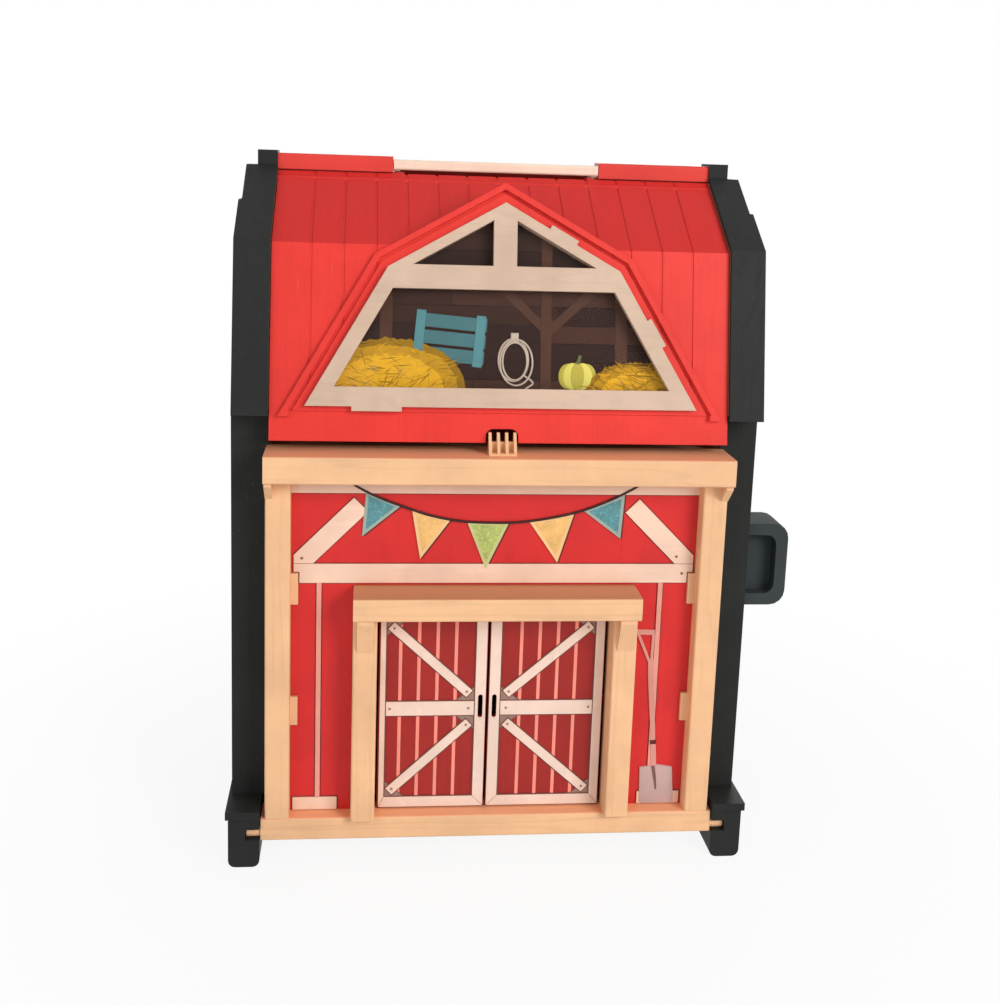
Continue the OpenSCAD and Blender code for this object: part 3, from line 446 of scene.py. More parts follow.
def add_pierced(bm, outline, hole):
    """Adds a board of the front wall with a hole through it."""
    flat = bmesh.new()
    edges = []
    for ring in (outline, hole):
        corners = [flat.verts.new((x, 0, z)) for x, z in ring]
        edges += [flat.edges.new((corners[i - 1], corners[i])) for i in range(len(corners))]
    bmesh.ops.triangle_fill(flat, use_beauty=True, use_dissolve=False, edges=edges)
    low, high = ({v: bm.verts.new(at(v.co.x, y, v.co.z)) for v in flat.verts}
                 for y in (CARD_Y + BOARD_SUNK, TRIM_Y))
    for face in flat.faces:
        bm.faces.new([high[v] for v in face.verts])
        bm.faces.new([low[v] for v in reversed(face.verts)])
    for edge in flat.edges:
        if edge.is_boundary:
            a, b = edge.verts
            bm.faces.new((high[a], high[b], low[b], low[a]))
    flat.free()


def smooth_line(points, count):
    """A smooth line through points, as count + 1 points."""
    out = []
    spans = len(points) - 1
    for k in range(count + 1):
        t = k / count * spans
        i = min(int(t), spans - 1)
        t -= i
        p = [Vector(points[min(max(i + j, 0), spans)]) for j in (-1, 0, 1, 2)]
        square = 2 * p[0] - 5 * p[1] + 4 * p[2] - p[3]
        cube = 3 * p[1] - p[0] - 3 * p[2] + p[3]
        out.append(tuple(0.5 * (2 * p[1] + (p[2] - p[0]) * t + square * t * t + cube * t ** 3)))
    return out


def add_tube(bm, points, radius):
    """Adds a closed tube along points of the frame."""
    sides = 8
    rings = []
    for i, p in enumerate(points):
        ahead = (points[min(i + 1, len(points) - 1)] - points[max(i - 1, 0)]).normalized()
        side = ahead.cross(Vector((0, 1, 0))).normalized()
        up = side.cross(ahead)
        rings.append([bm.verts.new(p + radius * (side * math.cos(a) + up * math.sin(a)))
                      for a in (2 * math.pi * k / sides for k in range(sides))])
    for low, high in zip(rings, rings[1:]):
        for k in range(sides):
            bm.faces.new((low[k], low[(k + 1) % sides], high[(k + 1) % sides], high[k]))
    for ring in (rings[0], list(reversed(rings[-1]))):
        bm.faces.new(ring)


def add_nail(bm, x, z, radius):
    """Adds a printed nail head on a board: a flat ring with a low dome in it."""
    add_plate(bm, disc(x, z, radius, steps=14), TRIM_Y + PRINT_SUNK, TRIM_Y - 0.06, on_card)
    add_plate(bm, disc(x, z, radius * 0.62, steps=12), TRIM_Y, TRIM_Y - 0.16, on_card, 1, radius * 0.25)


def length_property(name, description, default, low, high):
    """A property that holds a length in millimetres."""
    return FloatProperty(name=name, description=description + ", mm", default=default, min=low, max=high)


def colour_property(name, description, *values):
    """A colour property whose default is given as 0 to 255 screen values."""
    return FloatVectorProperty(name=name, description=description, subtype="COLOR", size=3, min=0, max=1,
                               default=srgb(*values))


class BarnSizes(PropertyGroup):
    """Sizes of the printed and fitted details"""

    nail_r: length_property("Nail Radius", "Radius of a printed nail head", 0.9, 0.4, 1.6)
    string_r: length_property("String Radius", "Half the width of the bunting's string", 0.62, 0.3, 1.2)
    outline_w: length_property("Outline Width", "Width of the dark line round the boards", 0.55, 0.2, 1.5)
    door_batten_w: length_property("Door Batten Width", "Width of a batten on the doors", 1.9, 1.0, 4.0)
    door_batten_pitch: length_property("Door Batten Pitch", "Spacing of those battens", 10.5, 8.0, 13.0)
    straws: IntProperty(name="Straws", description="Most straws on each hay heap", default=150, min=20,
                        max=400)


class BarnColours(PropertyGroup):
    """Colours of the barn's finishes"""

    black: colour_property("Shell", "End walls and feet", 36, 38, 37)
    # painted light: a lighter, bluer black than the shell, for the light falling on the right side
    grip: colour_property("Side Grip", "Side grip", 62, 68, 69)
    roof: colour_property("Roof", "Steep faces of the roof", 228, 62, 55)
    # painted shade: the upper slopes are the roof's own red, darker only for the light they get
    roof_top: colour_property("Roof Top", "Upper slopes of the roof", 214, 46, 42)
    ridge: colour_property("Ridge", "Ridge caps", 222, 70, 62)
    card: colour_property("Front Card", "Printed card of the front wall", 210, 45, 44)
    door: colour_property("Doors", "Door leaves", 160, 42, 38)
    timber: colour_property("Timber", "Beams, posts, lintel and sill", 238, 190, 146)
    # painted shade: the tops are the timber's own tan, darker only for the light they get
    timber_top: colour_property("Timber Tops", "Upper faces of the lintel and jambs", 206, 146, 106)
    handle: colour_property("Handle", "Carry handle", 252, 224, 202)
    window: colour_property("Window Frame", "Window frame", 208, 180, 158)
    pale: colour_property("Pale Boards", "Printed boards of the panel", 240, 206, 184)
    door_trim: colour_property("Door Boards", "Borders and braces of the doors", 240, 214, 198)
    pink: colour_property("Battens", "Battens on the doors", 248, 150, 134)
    brown: colour_property("Inside", "Floors and liners", 196, 150, 108)
    teal: colour_property("Teal", "Outer flags and the crate", 80, 136, 142)
    orange: colour_property("Orange", "Second and fourth flags", 234, 184, 112)
    green: colour_property("Green", "Middle flag", 170, 182, 100)
    straw: colour_property("Hay", "Hay heaps", 196, 148, 30)


def chosen(context):
    """The colours in use, by name."""
    colours = context.scene.barn_colours
    return {name: tuple(getattr(colours, name)) for name in BarnColours.__annotations__}


class BARN_OT_shell(Operator):
    """Finish the black end walls, feet and side grip, the grip in a lighter, bluer black as painted light
    from the right
    """
    bl_idname = "barn.shell"
    bl_label = "Shell"

    def execute(self, context):
        colours = chosen(context)
        wood = moulded("black_shell", colours["black"], 0.54, grain=(260, 240, 13), grain_depth=0.05,
                       grain_tone=0.05, worn=srgb(92, 92, 88), cloud=0.16, gloss=0.15)
        plain = moulded("black_feet", colours["black"], 0.55, worn=srgb(94, 94, 90), cloud=0.16, gloss=0.15)
        # painted light: the grip's lighter black stands in for the light on the right side
        grip = moulded("black_grip", colours["grip"], 0.62, worn=srgb(110, 116, 116), cloud=0.1, gloss=0.04)
        paint(["left_end_wall", "right_end_wall"], wood)
        paint(["front_left_foot", "front_right_foot", "rear_left_foot", "rear_right_foot"], plain)
        paint(["side_grip"], grip)
        return {"FINISHED"}


class BARN_OT_roof(Operator):
    """Finish the roof mouldings with painted shade on the upper slopes, the ridge caps, ridge beam and back
    wall, and add a rim in dark painted shade behind the handle
    """
    bl_idname = "barn.roof"
    bl_label = "Roof"

    def execute(self, context):
        colours = chosen(context)
        worn = srgb(246, 118, 104)
        # painted shade: the faces that look up, the upper slopes, take the darker red of the upper slopes
        roof = moulded("roof_red", colours["roof"], 0.36, grain=(300, 14, 14), grain_depth=0.03,
                       grain_tone=0.05, worn=worn, top=colours["roof_top"], cloud=0.07, gloss=0.16)
        plain = moulded("ridge_red", colours["ridge"], 0.38, worn=worn, cloud=0.07, gloss=0.16)
        paint(["roof_front", "rear_roof", "back_wall"], roof)
        paint(["ridge_cap_left", "ridge_cap_right", "ridge_beam"], plain)
        # low rim behind the handle, between the ridge caps and against the rear roof's edge; its dark red is
        # painted shade, standing in for the shadow under the handle
        cap_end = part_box("ridge_cap_left")[1] / MM
        reach, back = MID_X - cap_end.x - 1.5, cap_end.y - RIDGE_Y
        roof_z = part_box("rear_roof")[1].z / MM
        thick, below, above = 1.2, 1.6, 2.6
        bm = bmesh.new()
        add_plate(bm, rectangle(-reach, roof_z - below, reach, roof_z + above), back, back - thick, on_card)
        piece("ridge_rim", bm, moulded("rim_red", srgb(132, 36, 30), 0.5, gloss=0.1), "barn")
        return {"FINISHED"}


class BARN_OT_timber(Operator):
    """Finish the beams, posts, jambs, sill and handle as wood-grained plastic, all but the handle with
    painted shade on the faces that look up
    """
    bl_idname = "barn.timber"
    bl_label = "Timber"

    def execute(self, context):
        colours = chosen(context)
        # painted shade: the level and upright finishes take a darker top colour for the light their upper
        # faces get
        tan, top = colours["timber"], colours["timber_top"]
        worn = srgb(252, 232, 204)
        grained = {"rough": 0.5, "grain_depth": 0.06, "grain_tone": 0.09, "worn": worn}
        level = moulded("timber_level", tan, grain=LEVEL_GRAIN, top=top, **grained)
        # painted shade on the tops of the header and sill, lighter than the lintel's, for the stronger light
        # their tops get
        header = moulded("timber_header", tan, grain=LEVEL_GRAIN, top=srgb(248, 178, 134), **grained)
        upright = moulded("timber_upright", tan, grain=UPRIGHT_GRAIN, top=top, **grained)
        plain = moulded("timber_plain", colours["handle"], 0.48, grain=(16, 160, 220), grain_depth=0.03,
                        grain_tone=0.05, worn=worn)
        paint(["header_beam", "sill_beam"], header)
        paint(["door_lintel"], level)
        paint(["left_post", "right_post", "left_jamb", "right_jamb"], upright)
        paint(["carry_handle"], plain)
        paint(["catch_tab"], moulded("timber_catch", scaled(tan, 0.95), 0.48, worn=worn))
        return {"FINISHED"}


class BARN_OT_inside(Operator):
    """Finish the floors, liners and screws"""
    bl_idname = "barn.inside"
    bl_label = "Inside"

    def execute(self, context):
        brown = chosen(context)["brown"]
        boards = moulded("brown_boards", brown, 0.5, grain=(12, 190, 190), grain_depth=0.07, grain_tone=0.18)
        liner = moulded("brown_liner", scaled(brown, 0.9), 0.52, grain=(190, 190, 12), grain_depth=0.06,
                        grain_tone=0.14)
        paint(["ground_floor", "loft_floor"], boards)
        paint(["left_wall_liner", "right_wall_liner"], liner)
        f = Finish("screw_steel")
        place = f.place()
        normal = f.rounded(0.0002)
        brushed = f.noise(f.stretched(place, (400, 2600, 2600)), 1, 3)
        steel = f.mix(brushed, srgb(150, 150, 152), srgb(196, 196, 198))
        paint(["wall_screws"], f.surface(
            Base_Color=steel, Metallic=1.0, Roughness=(0.28 + brushed * 0.18).limited(),
            Normal=f.bump(brushed, 0.00002, normal)))
        return {"FINISHED"}


class BARN_OT_front(Operator):
    """Finish the front card and panel, and add the panel's boards, their dark lines and nails"""
    bl_idname = "barn.front"
    bl_label = "Front Wall"

    def execute(self, context):
        colours, sizes = chosen(context), context.scene.barn_sizes
        red = colours["card"]
        paint(["front_card"], printed("card_red", red, 0.4, grain=(170, 170, 9), tone=0.07))
        paint(["front_panel"], moulded("panel_red", scaled(red, 0.8), 0.45, grain=(230, 230, 12),
                                       grain_tone=0.06))
        trim = printed("trim_pale", colours["pale"], 0.44, grain=(13, 200, 230), tone=0.09,
                       deep=srgb(214, 150, 128))
        batten = printed("panel_batten", srgb(232, 158, 142), 0.44, grain=(230, 230, 16), tone=0.08)
        paint(["panel_trim"], trim)
        shade = printed("print_shade", srgb(112, 34, 30), 0.45)
        ring = printed("nail_ring", srgb(176, 134, 118), 0.4)
        head = printed("nail_head", srgb(122, 84, 72), 0.32)
        # the dark lines stay clear of the posts, sill and header
        clear = 0.2
        side, low, high = POST_IN_X - clear, SILL_Z1 + clear, HEADER_Z0 - clear
        bm = bmesh.new()
        for outline, _ in panel_trims():
            wide = [(min(max(x, -side), side), min(max(z, low), high))
                    for x, z in grown(outline, sizes.outline_w)]
            add_flat(bm, wide, 0.08)
        piece("panel_outlines", bm, shade, "front_wall")
        bm = bmesh.new()
        for outline, pink in panel_trims():
            add_board(bm, outline, pink)
        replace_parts(piece("panel_boards", bm, [trim, batten], "front_wall"), "panel_trim")
        bm = bmesh.new()
        for x, z in ((POST_IN_X - 7.6, 7), (POST_IN_X - 11.3, 17), (5.9 - POST_IN_X, 15.8)):
            add_nail(bm, x, LINTEL_Z1 + z, sizes.nail_r)
        piece("panel_nails", bm, [ring, head], "front_wall")
        return {"FINISHED"}


class BARN_OT_doors(Operator):
    """Finish the door leaves, and add their boards, battens, corner plates, dark lines and nails"""
    bl_idname = "barn.doors"
    bl_label = "Doors"

    def execute(self, context):
        colours, sizes = chosen(context), context.scene.barn_sizes
        leaf = moulded("door_red", colours["door"], 0.4, grain=(240, 240, 13), grain_depth=0.04,
                       grain_tone=0.07, worn=srgb(204, 92, 82))
        trim = printed("door_pale", colours["door_trim"], 0.44, grain=(120, 120, 120), tone=0.05,
                       deep=srgb(214, 172, 156))
        batten = printed("batten_pink", colours["pink"], 0.44, grain=(260, 260, 16), tone=0.08)
        shade = printed("door_shade", srgb(120, 66, 58), 0.45)
        ends = printed("brace_ends", srgb(150, 122, 112), 0.45)
        ring = printed("door_nail_ring", srgb(202, 166, 150), 0.4)
        head = printed("door_nail_head", srgb(150, 116, 104), 0.32)
        paint(["left_door_trim", "right_door_trim"], trim)
        paint(["left_door", "right_door"], leaf)
        stile, rail_half, brace_w, gap = 6.3, 4.3, 5.4, -0.12
        line, batten_half, rail_z = sizes.outline_w, sizes.door_batten_w / 2, DOOR_RAIL_Z
        for s, side, hinge_stile in ((-1, "left", 3.2), (1, "right", 5.2)):
            # x runs from the meeting edge x0 to the hinge edge x1, in0 and in1 inside the stiles
            body = side + "_leaf"
            low, high = (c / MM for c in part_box(side + "_door_trim"))
            x0, x1 = sorted((s * (low.x - MID_X), s * (high.x - MID_X)))
            z0, z1 = low.z, high.z
            in0, in1 = x0 + stile, x1 - hinge_stile
            low_z, high_z = z0 + stile, z1 - stile
            mitres = (((x0, z0), (in0, low_z)), ((x1, z0), (in1, low_z)),
                      ((x0, z1), (in0, high_z)), ((x1, z1), (in1, high_z)))

            bm = bmesh.new()
            for i in range(4):
                x = x0 + 17.65 + i * sizes.door_batten_pitch
                upright = rectangle(x - batten_half, low_z - 1, x + batten_half, high_z + 1)
                add_flat(bm, flipped(s, upright), 0.3)
            piece(side + "_door_battens", bm, batten, body)

            meeting = [(x0, z0), (in0, low_z), (in0, high_z), (x0, z1)]
            rail = rectangle(in0 + 0.3, rail_z - rail_half, in1 - 0.3, rail_z + rail_half)
            braces, plates, nails = [], [], [(in0 + 3.6, rail_z), (in1 - 2.6, rail_z)]
            for up, edge_z in ((-1, low_z), (1, high_z)):
                a = Vector((in1 + 2.8, edge_z + 1.7 * up))
                b = Vector((in0 - 1, rail_z + 4.8 * up))
                u = (b - a).normalized()
                a, b = a + u * 7.4, b - u * 5.6
                braces.append(strip(a, b, brace_w))
                nails += [tuple(a + u * 2.4), tuple(b - u * 2.2)]
                plates.append(self.corner(in1, edge_z, -11.0, -up * 9.5))
                plates.append(self.corner(in0, rail_z + rail_half * up, 11.0, up * 8.5))
            boards = [
                [(x0, z0), (x1, z0), (in1, low_z), (in0, low_z)],
                [(x0, z1), (in0, high_z), (in1, high_z), (x1, z1)],
                [(x1, z0), (x1, z1), (in1, high_z), (in1, low_z)],
                *braces,
                rail,
            ]
            bm = bmesh.new()
            for outline in boards:
                add_board(bm, flipped(s, grown(outline, gap)))
            hole = self.slot(x0 + 3.1, rail_z + 1.2, 2.7, 14.0)
            add_pierced(bm, flipped(s, grown(meeting, gap)), flipped(s, hole))
            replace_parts(piece(side + "_door_boards", bm, trim, body), side + "_door_trim")

            # each a little higher than the last: corner plates with their lines, then the boards' lines
            bm = bmesh.new()
            for height, group, wider, tone in (
                (0.32, plates, line, 0), (0.38, plates, 0.0, 1), (0.44, [*braces, rail], line, 0),
                (0.5, [rectangle(x - line, low_z, x + line, high_z) for x in (in0, in1)], 0.0, 0),
                (0.52, [rectangle(in0, z - line, in1, z + line) for z in (low_z, high_z)], 0.0, 0),
                (0.5, [rectangle(x - 0.1, z0, x + 0.1, z1) for x in (x0 + 0.2, x1 - 0.2)], 0.0, 0),
                (0.55, [strip(a, b, 0.6) for a, b in mitres], 0.0, 0),
            ):
                for outline in group:
                    add_flat(bm, flipped(s, grown(outline, wider)), height, tone)
            piece(side + "_door_lines", bm, [shade, ends], body)

            bm = bmesh.new()
            for x, z in nails:
                add_nail(bm, s * x, z, sizes.nail_r)
            piece(side + "_door_nails", bm, [ring, head], body)
        return {"FINISHED"}

    def slot(self, x, z, width, length):
        """Outline of an upright slot with round ends."""
        r, half = width / 2, (length - width) / 2
        arc = [math.pi * k / 8 for k in range(9)]
        return ([(x + r * math.cos(a), z + half + r * math.sin(a)) for a in arc]
                + [(x - r * math.cos(a), z - half - r * math.sin(a)) for a in arc])

    def corner(self, x, z, dx, dz):
        """A three-cornered plate in a corner, counter-clockwise."""
        points = [(x, z), (x + dx, z), (x, z + dz)]
        return points if dx * dz > 0 else points[::-1]


class BARN_OT_bunting(Operator):
    """Print a string of five flags across the panel"""
    bl_idname = "barn.bunting"
    bl_label = "Bunting"

    def execute(self, context):
        colours, half = chosen(context), context.scene.barn_sizes.string_r
        string = [(-81.5, 222.6), (-78.4, 219.9), (-66.8, 213.9), (-54.6, 209.2), (-37.9, 203.6),
                  (-21.1, 200.4), (-4.3, 199.5), (12.5, 199.9), (29.4, 202.3), (46.2, 206.3), (62.9, 212.8),
                  (76.3, 219.8), (80.0, 222.4)]
        steps = 90
        line = [Vector(p) for p in smooth_line(string, steps)]
        edges = []
        for i, p in enumerate(line):
            u = (line[min(i + 1, steps)] - line[max(i - 1, 0)]).normalized() * half
            across = Vector((-u.y, u.x))
            edges.append((tuple(p - across), tuple(p + across)))
        bm = bmesh.new()
        for (under, over), (next_under, next_over) in zip(edges, edges[1:]):
            add_print(bm, [under, next_under, next_over, over], 0.35)
        rope = printed("string_brown", srgb(58, 24, 22), 0.5, grain=(700, 700, 700))
        piece("bunting_string", bm, rope, "front_wall")
        # name, colour, share of light flecks and corners of each flag
        flags = (
            ("flag_1", "teal", 0.55, [(-73.4, 217.2), (-75.3, 191.4), (-54.0, 209.0)]),
            ("flag_2", "orange", 0.2, [(-47.9, 206.6), (-42.9, 178.4), (-26.2, 201.3)]),
            ("flag_3", "green", 0.45, [(-17.2, 200.0), (-6.0, 172.6), (6.4, 199.7)]),
            ("flag_4", "orange", 0.2, [(17.6, 200.4), (34.4, 176.4), (42.9, 205.2)]),
            ("flag_5", "teal", 0.55, [(47.9, 206.8), (69.8, 190.4), (71.2, 216.2)]),
        )
        hem_w, cream = 1.7, srgb(252, 232, 196)
        shade = printed("flag_shade", srgb(104, 30, 28), 0.45)
        for name, tone, flecks, outline in flags:
            colour = colours[tone]
            cloth = self.cloth(tone + "_" + name, colour, flecks)
            hem = printed("hem_" + name, tuple(0.72 * c + 0.28 * w for c, w in zip(colour, cream)), 0.5)
            bm = bmesh.new()
            add_flat(bm, [(x + 0.9, z - 0.5) for x, z in outline], 0.3, 2)
            add_print(bm, outline, 0.12)
            add_print(bm, grown(outline, -hem_w), 0.22, 1)
            piece(name, bm, [hem, cloth, shade], "front_wall")
        return {"FINISHED"}

    def cloth(self, name, colour, flecks):
        """Printed cloth with light flecks."""
        f = Finish(name)
        place = f.place()
        fleck = f.noise(place, 620, 3, 0.6).step(0.5, 0.66)
        wash = f.noise(place, 110, 3)
        colour_now = f.mix(wash.step(0.3, 0.7), scaled(colour, 0.86), scaled(colour, 1.12))
        colour_now = f.mix(fleck * flecks, colour_now, scaled(colour, 2.0))
        rough = (0.46 + wash * 0.1).limited()
        return f.surface(Base_Color=colour_now, Roughness=rough, Normal=f.bump(fleck, 0.00003))


class BARN_OT_shovel(Operator):
    """Print a plain shovel that leans on the right side of the panel"""
    bl_idname = "barn.shovel"
    bl_label = "Shovel"

    def execute(self, context):
        finishes = [
            printed("shovel_wood", srgb(214, 150, 138), 0.44, grain=(240, 240, 18), tone=0.12),
            printed("shovel_ferrule", srgb(92, 34, 30), 0.4),
            printed("shovel_blade", srgb(196, 168, 164), 0.34, grain=(60, 60, 20), tone=0.06),
            printed("shovel_fold", srgb(112, 88, 86), 0.4),
        ]
        wood, dark, steel, fold = range(4)
        shaft = smooth_line([(91.3, 118.5), (92.2, 104.0), (93.9, 86.0), (95.4, 68.0)], 8)
        left = [(x - 1.6 + 0.2 * i / 8, z) for i, (x, z) in enumerate(shaft)]
        right = [(x + 1.6 - 0.2 * i / 8, z) for i, (x, z) in enumerate(shaft)]
        blade = [(89.0, 30.0), (90.2, 28.9), (108.4, 28.9), (109.4, 30.0), (107.6, 51.6), (98.0, 53.2),
                 (88.4, 51.6)]
        bm = bmesh.new()
        for outline, lift, finish in (
            (strip((82.4, 134.9), (92.8, 134.6), 3.0), 0.1, wood),
            (strip((83.4, 133.6), (91.0, 116.0), 1.6), 0.12, wood),
            (strip((92.2, 133.4), (91.8, 116.0), 1.6), 0.14, wood),
            (left + right[::-1], 0.16, wood),
            (strip((95.3, 68.6), (95.6, 65.6), 3.6), 0.22, dark),
            ([(94.0, 66.0), (95.2, 50.0), (96.6, 44.0), (98.6, 47.0), (97.2, 66.0)], 0.3, wood),
            (blade, 0.2, steel),
            ([(95.2, 52.4), (98.2, 37.6), (99.0, 37.8), (98.4, 46.0), (97.2, 52.6)], 0.36, fold),
        ):
            add_print(bm, outline, lift, finish)
        piece("printed_shovel", bm, finishes, "front_wall")
        return {"FINISHED"}


class BARN_OT_window(Operator):
    """Finish the window frame and its clear pane"""
    bl_idname = "barn.window"
    bl_label = "Window"

    def execute(self, context):
        frame_plastic = moulded("window_plastic", chosen(context)["window"], 0.44, grain=(26, 240, 240),
                                grain_depth=0.04, grain_tone=0.06, worn=srgb(250, 226, 206))
        paint(["window_frame"], frame_plastic)
        f = Finish("clear_pane")
        place = f.place()
        smudge = f.noise(f.stretched(place, (16, 16, 9)), 1, 3, 0.5).step(0.5, 0.85)
        lines = f.noise(f.stretched(place, (500, 60, 60)), 1, 2).step(0.74, 0.78)
        paint(["window_pane"], f.surface(
            Base_Color=srgb(236, 234, 230), Alpha=(0.006 + smudge * 0.016 + lines * 0.03).limited(),
            Roughness=(0.08 + smudge * 0.1).limited(), IOR=1.49))
        NODES["window_pane"].data.materials[0].surface_render_method = "BLENDED"
        return {"FINISHED"}


class BARN_OT_loft(Operator):
    """Print a hay loft on the card behind the window: boards, posts, hay, a crate, a rope and a squash"""
    bl_idname = "barn.loft"
    bl_label = "Hay Loft"

    def execute(self, context):
        colours = chosen(context)
        paint(["loft_card"], printed("loft_dark", srgb(34, 20, 17), 0.5, gloss=0.06))
        dice = random.Random(7)
        self.boards(dice)
        self.heaps(colours["straw"], context.scene.barn_sizes.straws, dice)
        self.crate(colours["teal"])
        self.rope()
        self.squash()
        return {"FINISHED"}

    def boards(self, dice):
        """Dark boards across the back, with three posts and two sloping struts."""
        shades = srgb(48, 29, 25), srgb(58, 36, 29), srgb(70, 44, 35)
        tones = [printed("loft_board_%d" % i, c, 0.5, grain=(14, 240, 240), tone=0.2, gloss=0.06)
                 for i, c in enumerate(shades)]
        board_w, seam, half_seam = 9.6, 0.5, 0.2
        inside = card_outline()
        low, high = inside[0][1], inside[3][1]
        bm = bmesh.new()
        s = low + half_seam
        while s < high - 2:
            top = min(s + board_w, high - 0.6)
            under, over = card_half_width(inside, s), card_half_width(inside, top)
            cut_x = dice.uniform(-0.5, 0.5) * min(under, over)
            # a half board runs from the card's edge to the cut
            for side in (-1, 1):
                middle = cut_x + half_seam * side
                ends = [(middle, s), (under * side, s), (over * side, top), (middle, top)]
                face = CARD_N + 0.12 + 0.06 * dice.random()
                add_plate(bm, ends if side > 0 else ends[::-1], CARD_N - 0.05, face, on_slope,
                          dice.randrange(len(tones)))
            s = top + seam
        piece("loft_boards", bm, tones, "roof")
        posts = [(rectangle(x - half, low + 0.5, x + half, top), 0.5)
                 for x, half, top in ((-64.0, 3.4, 92.0), (24.0, 3.0, 122.0), (66.0, 3.4, 92.0))]
        struts = [(strip(a, b, 5.0), 0.4)
                  for a, b in (((24.0, 60.0), (58.0, 92.0)), ((24.0, 62.0), (-8.0, 92.0)))]
        bm = bmesh.new()
        for outline, height in posts + struts:
            add_plate(bm, outline, CARD_N, CARD_N + height, on_slope, 0, 0.4)
        wood = printed("loft_post", srgb(82, 54, 42), 0.48, grain=(220, 220, 14), tone=0.2, gloss=0.06)
        piece("loft_posts", bm, wood, "roof")

    def heaps(self, straw, straws, dice):
        """Two heaps of hay, each a mound with loose straws over it."""
        tones = [printed("hay_%d" % i, scaled(straw, k), 0.5, grain=(90, 200, 200), tone=0.2, gloss=0.08)
                 for i, k in enumerate((0.6, 1.0, 1.45))]
        inside, margin, steps = card_outline(), 0.4, 60
        base = inside[0][1] + margin

        def clipped(x, s):
            s = max(base, s)
            w = card_half_width(inside, s) - margin
            return (max(-w, min(w, x)), s)

        for name, cx, half, top in (("hay_heap_left", -62.0, 42.0, 31.0),
                                    ("hay_heap_right", 76.0, 30.0, 20.0)):
            bm = bmesh.new()
            for layer, k in enumerate((1.0, 0.9, 0.72)):
                rim = []
                for i in range(steps + 1):
                    a = math.pi * i / steps
                    jag = dice.uniform(-0.7, 1.1) * (1 if i % 2 else 0.3)
                    x = cx + half * k * math.cos(a)
                    s = base + (top * k + jag) * math.sin(a) ** 0.8 + jag * 0.4
                    rim.append(clipped(x, s))
                rim = [p for i, p in enumerate(rim)
                       if i == 0 or (Vector(p) - Vector(rim[i - 1])).length > 0.05]
                add_plate(bm, rim, CARD_N + 0.1, CARD_N + 0.7 + 0.25 * layer, on_slope, layer)
            for _ in range(straws):
                a = dice.uniform(0.05, 0.95) * math.pi
                r = dice.uniform(0.2, 1.0)
                p = Vector((cx + half * r * math.cos(a), base + top * r * math.sin(a)))
                lean = dice.gauss(0, 0.5) + (math.pi if dice.random() < 0.5 else 0) + 0.5 * math.cos(a)
                u = Vector((math.cos(lean), math.sin(lean))) * dice.uniform(2.5, 6.5)
                n = Vector((-u.y, u.x)).normalized() * dice.uniform(0.16, 0.34)
                q = [p - u - n * 0.3, p - n, p + u, p + n]
                if all(clipped(*c) == tuple(c) for c in q):
                    face = CARD_N + 1.25 + 0.2 * dice.random()
                    add_plate(bm, q, CARD_N + 0.3, face, on_slope, dice.randrange(len(tones)))
            piece(name, bm, tones, "roof")

    def crate(self, teal):
        """A slatted crate behind the left heap."""
        wood = printed("crate_teal", scaled(teal, 0.62), 0.44, grain=(16, 200, 200), tone=0.16)
        light = printed("crate_light", scaled(teal, 0.95), 0.44, grain=(16, 200, 200), tone=0.1)
        bm = bmesh.new()
        tilt, middle = Matrix.Rotation(math.radians(-5), 2), Vector((-30, 50))
        slats = [(rectangle(-49, s, -10, s + 7.4), 0.55, 0) for s in (44.0, 53.0, 62.0)]
        uprights = [(rectangle(x - 2.6, 42.5, x + 2.6, 71.0), 0.75, 1) for x in (-46.5, -13.5)]
        for outline, height, tone in slats + uprights:
            turned = [tuple(tilt @ (Vector(p) - middle) + middle) for p in outline]
            add_plate(bm, turned, CARD_N, CARD_N + height, on_slope, tone, 0.3)
        piece("loft_crate", bm, [wood, light], "roof")

    def rope(self):
        """A coil of rope on a peg."""
        hemp = printed("rope_pale", srgb(196, 176, 160), 0.52, grain=(420, 420, 420), tone=0.2)
        thick = 0.55
        bm = bmesh.new()
        for k, (rx, rs) in enumerate(((8.2, 11.6), (6.8, 10.4), (9.0, 12.6))):
            line = disc(6.0 + 0.8 * k, 45.5 - k * 0.7, rx, rs, 48)
            points = [on_slope(x, s, CARD_N + thick + 0.25 * k) for x, s in line + line[:1]]
            add_tube(bm, points, thick * MM)
        tail = smooth_line([(12.0, 37.0), (17.0, 33.0), (13.0, 29.5), (19.0, 28.6)], 24)
        add_tube(bm, [on_slope(x, s, CARD_N + 0.6) for x, s in tail], thick * MM)
        add_plate(bm, rectangle(4.4, 55.0, 8.8, 60.5), CARD_N, CARD_N + 1.3, on_slope, 0, 0.4)
        piece("loft_rope", bm, hemp, "roof")

    def squash(self):
        """A round yellow squash with ribs and a short stalk."""
        shades = srgb(186, 172, 62), srgb(222, 210, 96), srgb(92, 96, 52)
        skins = [printed("squash_%d" % i, c, 0.36) for i, c in enumerate(shades)]
        foot, middle = CARD_N + 0.1, 41.8
        bm = bmesh.new()
        for x, rx, tone in ((36.4, 5.2, 0), (47.0, 5.2, 0), (39.0, 5.6, 1), (44.6, 5.6, 1), (middle, 4.2, 0)):
            out = abs(x - middle)
            rib = disc(x, 37.0, rx, 8.0 - out * 0.18, 26)
            add_plate(bm, rib, foot, CARD_N + 1.0 - out * 0.07, on_slope, tone, 0.8)
        stalk = [(40.7, 43.6), (42.9, 43.6), (44.2, 48.4), (42.2, 49.0)]
        add_plate(bm, stalk, foot, CARD_N + 1.1, on_slope, 2, 0.2)
        piece("loft_squash", bm, skins, "roof")


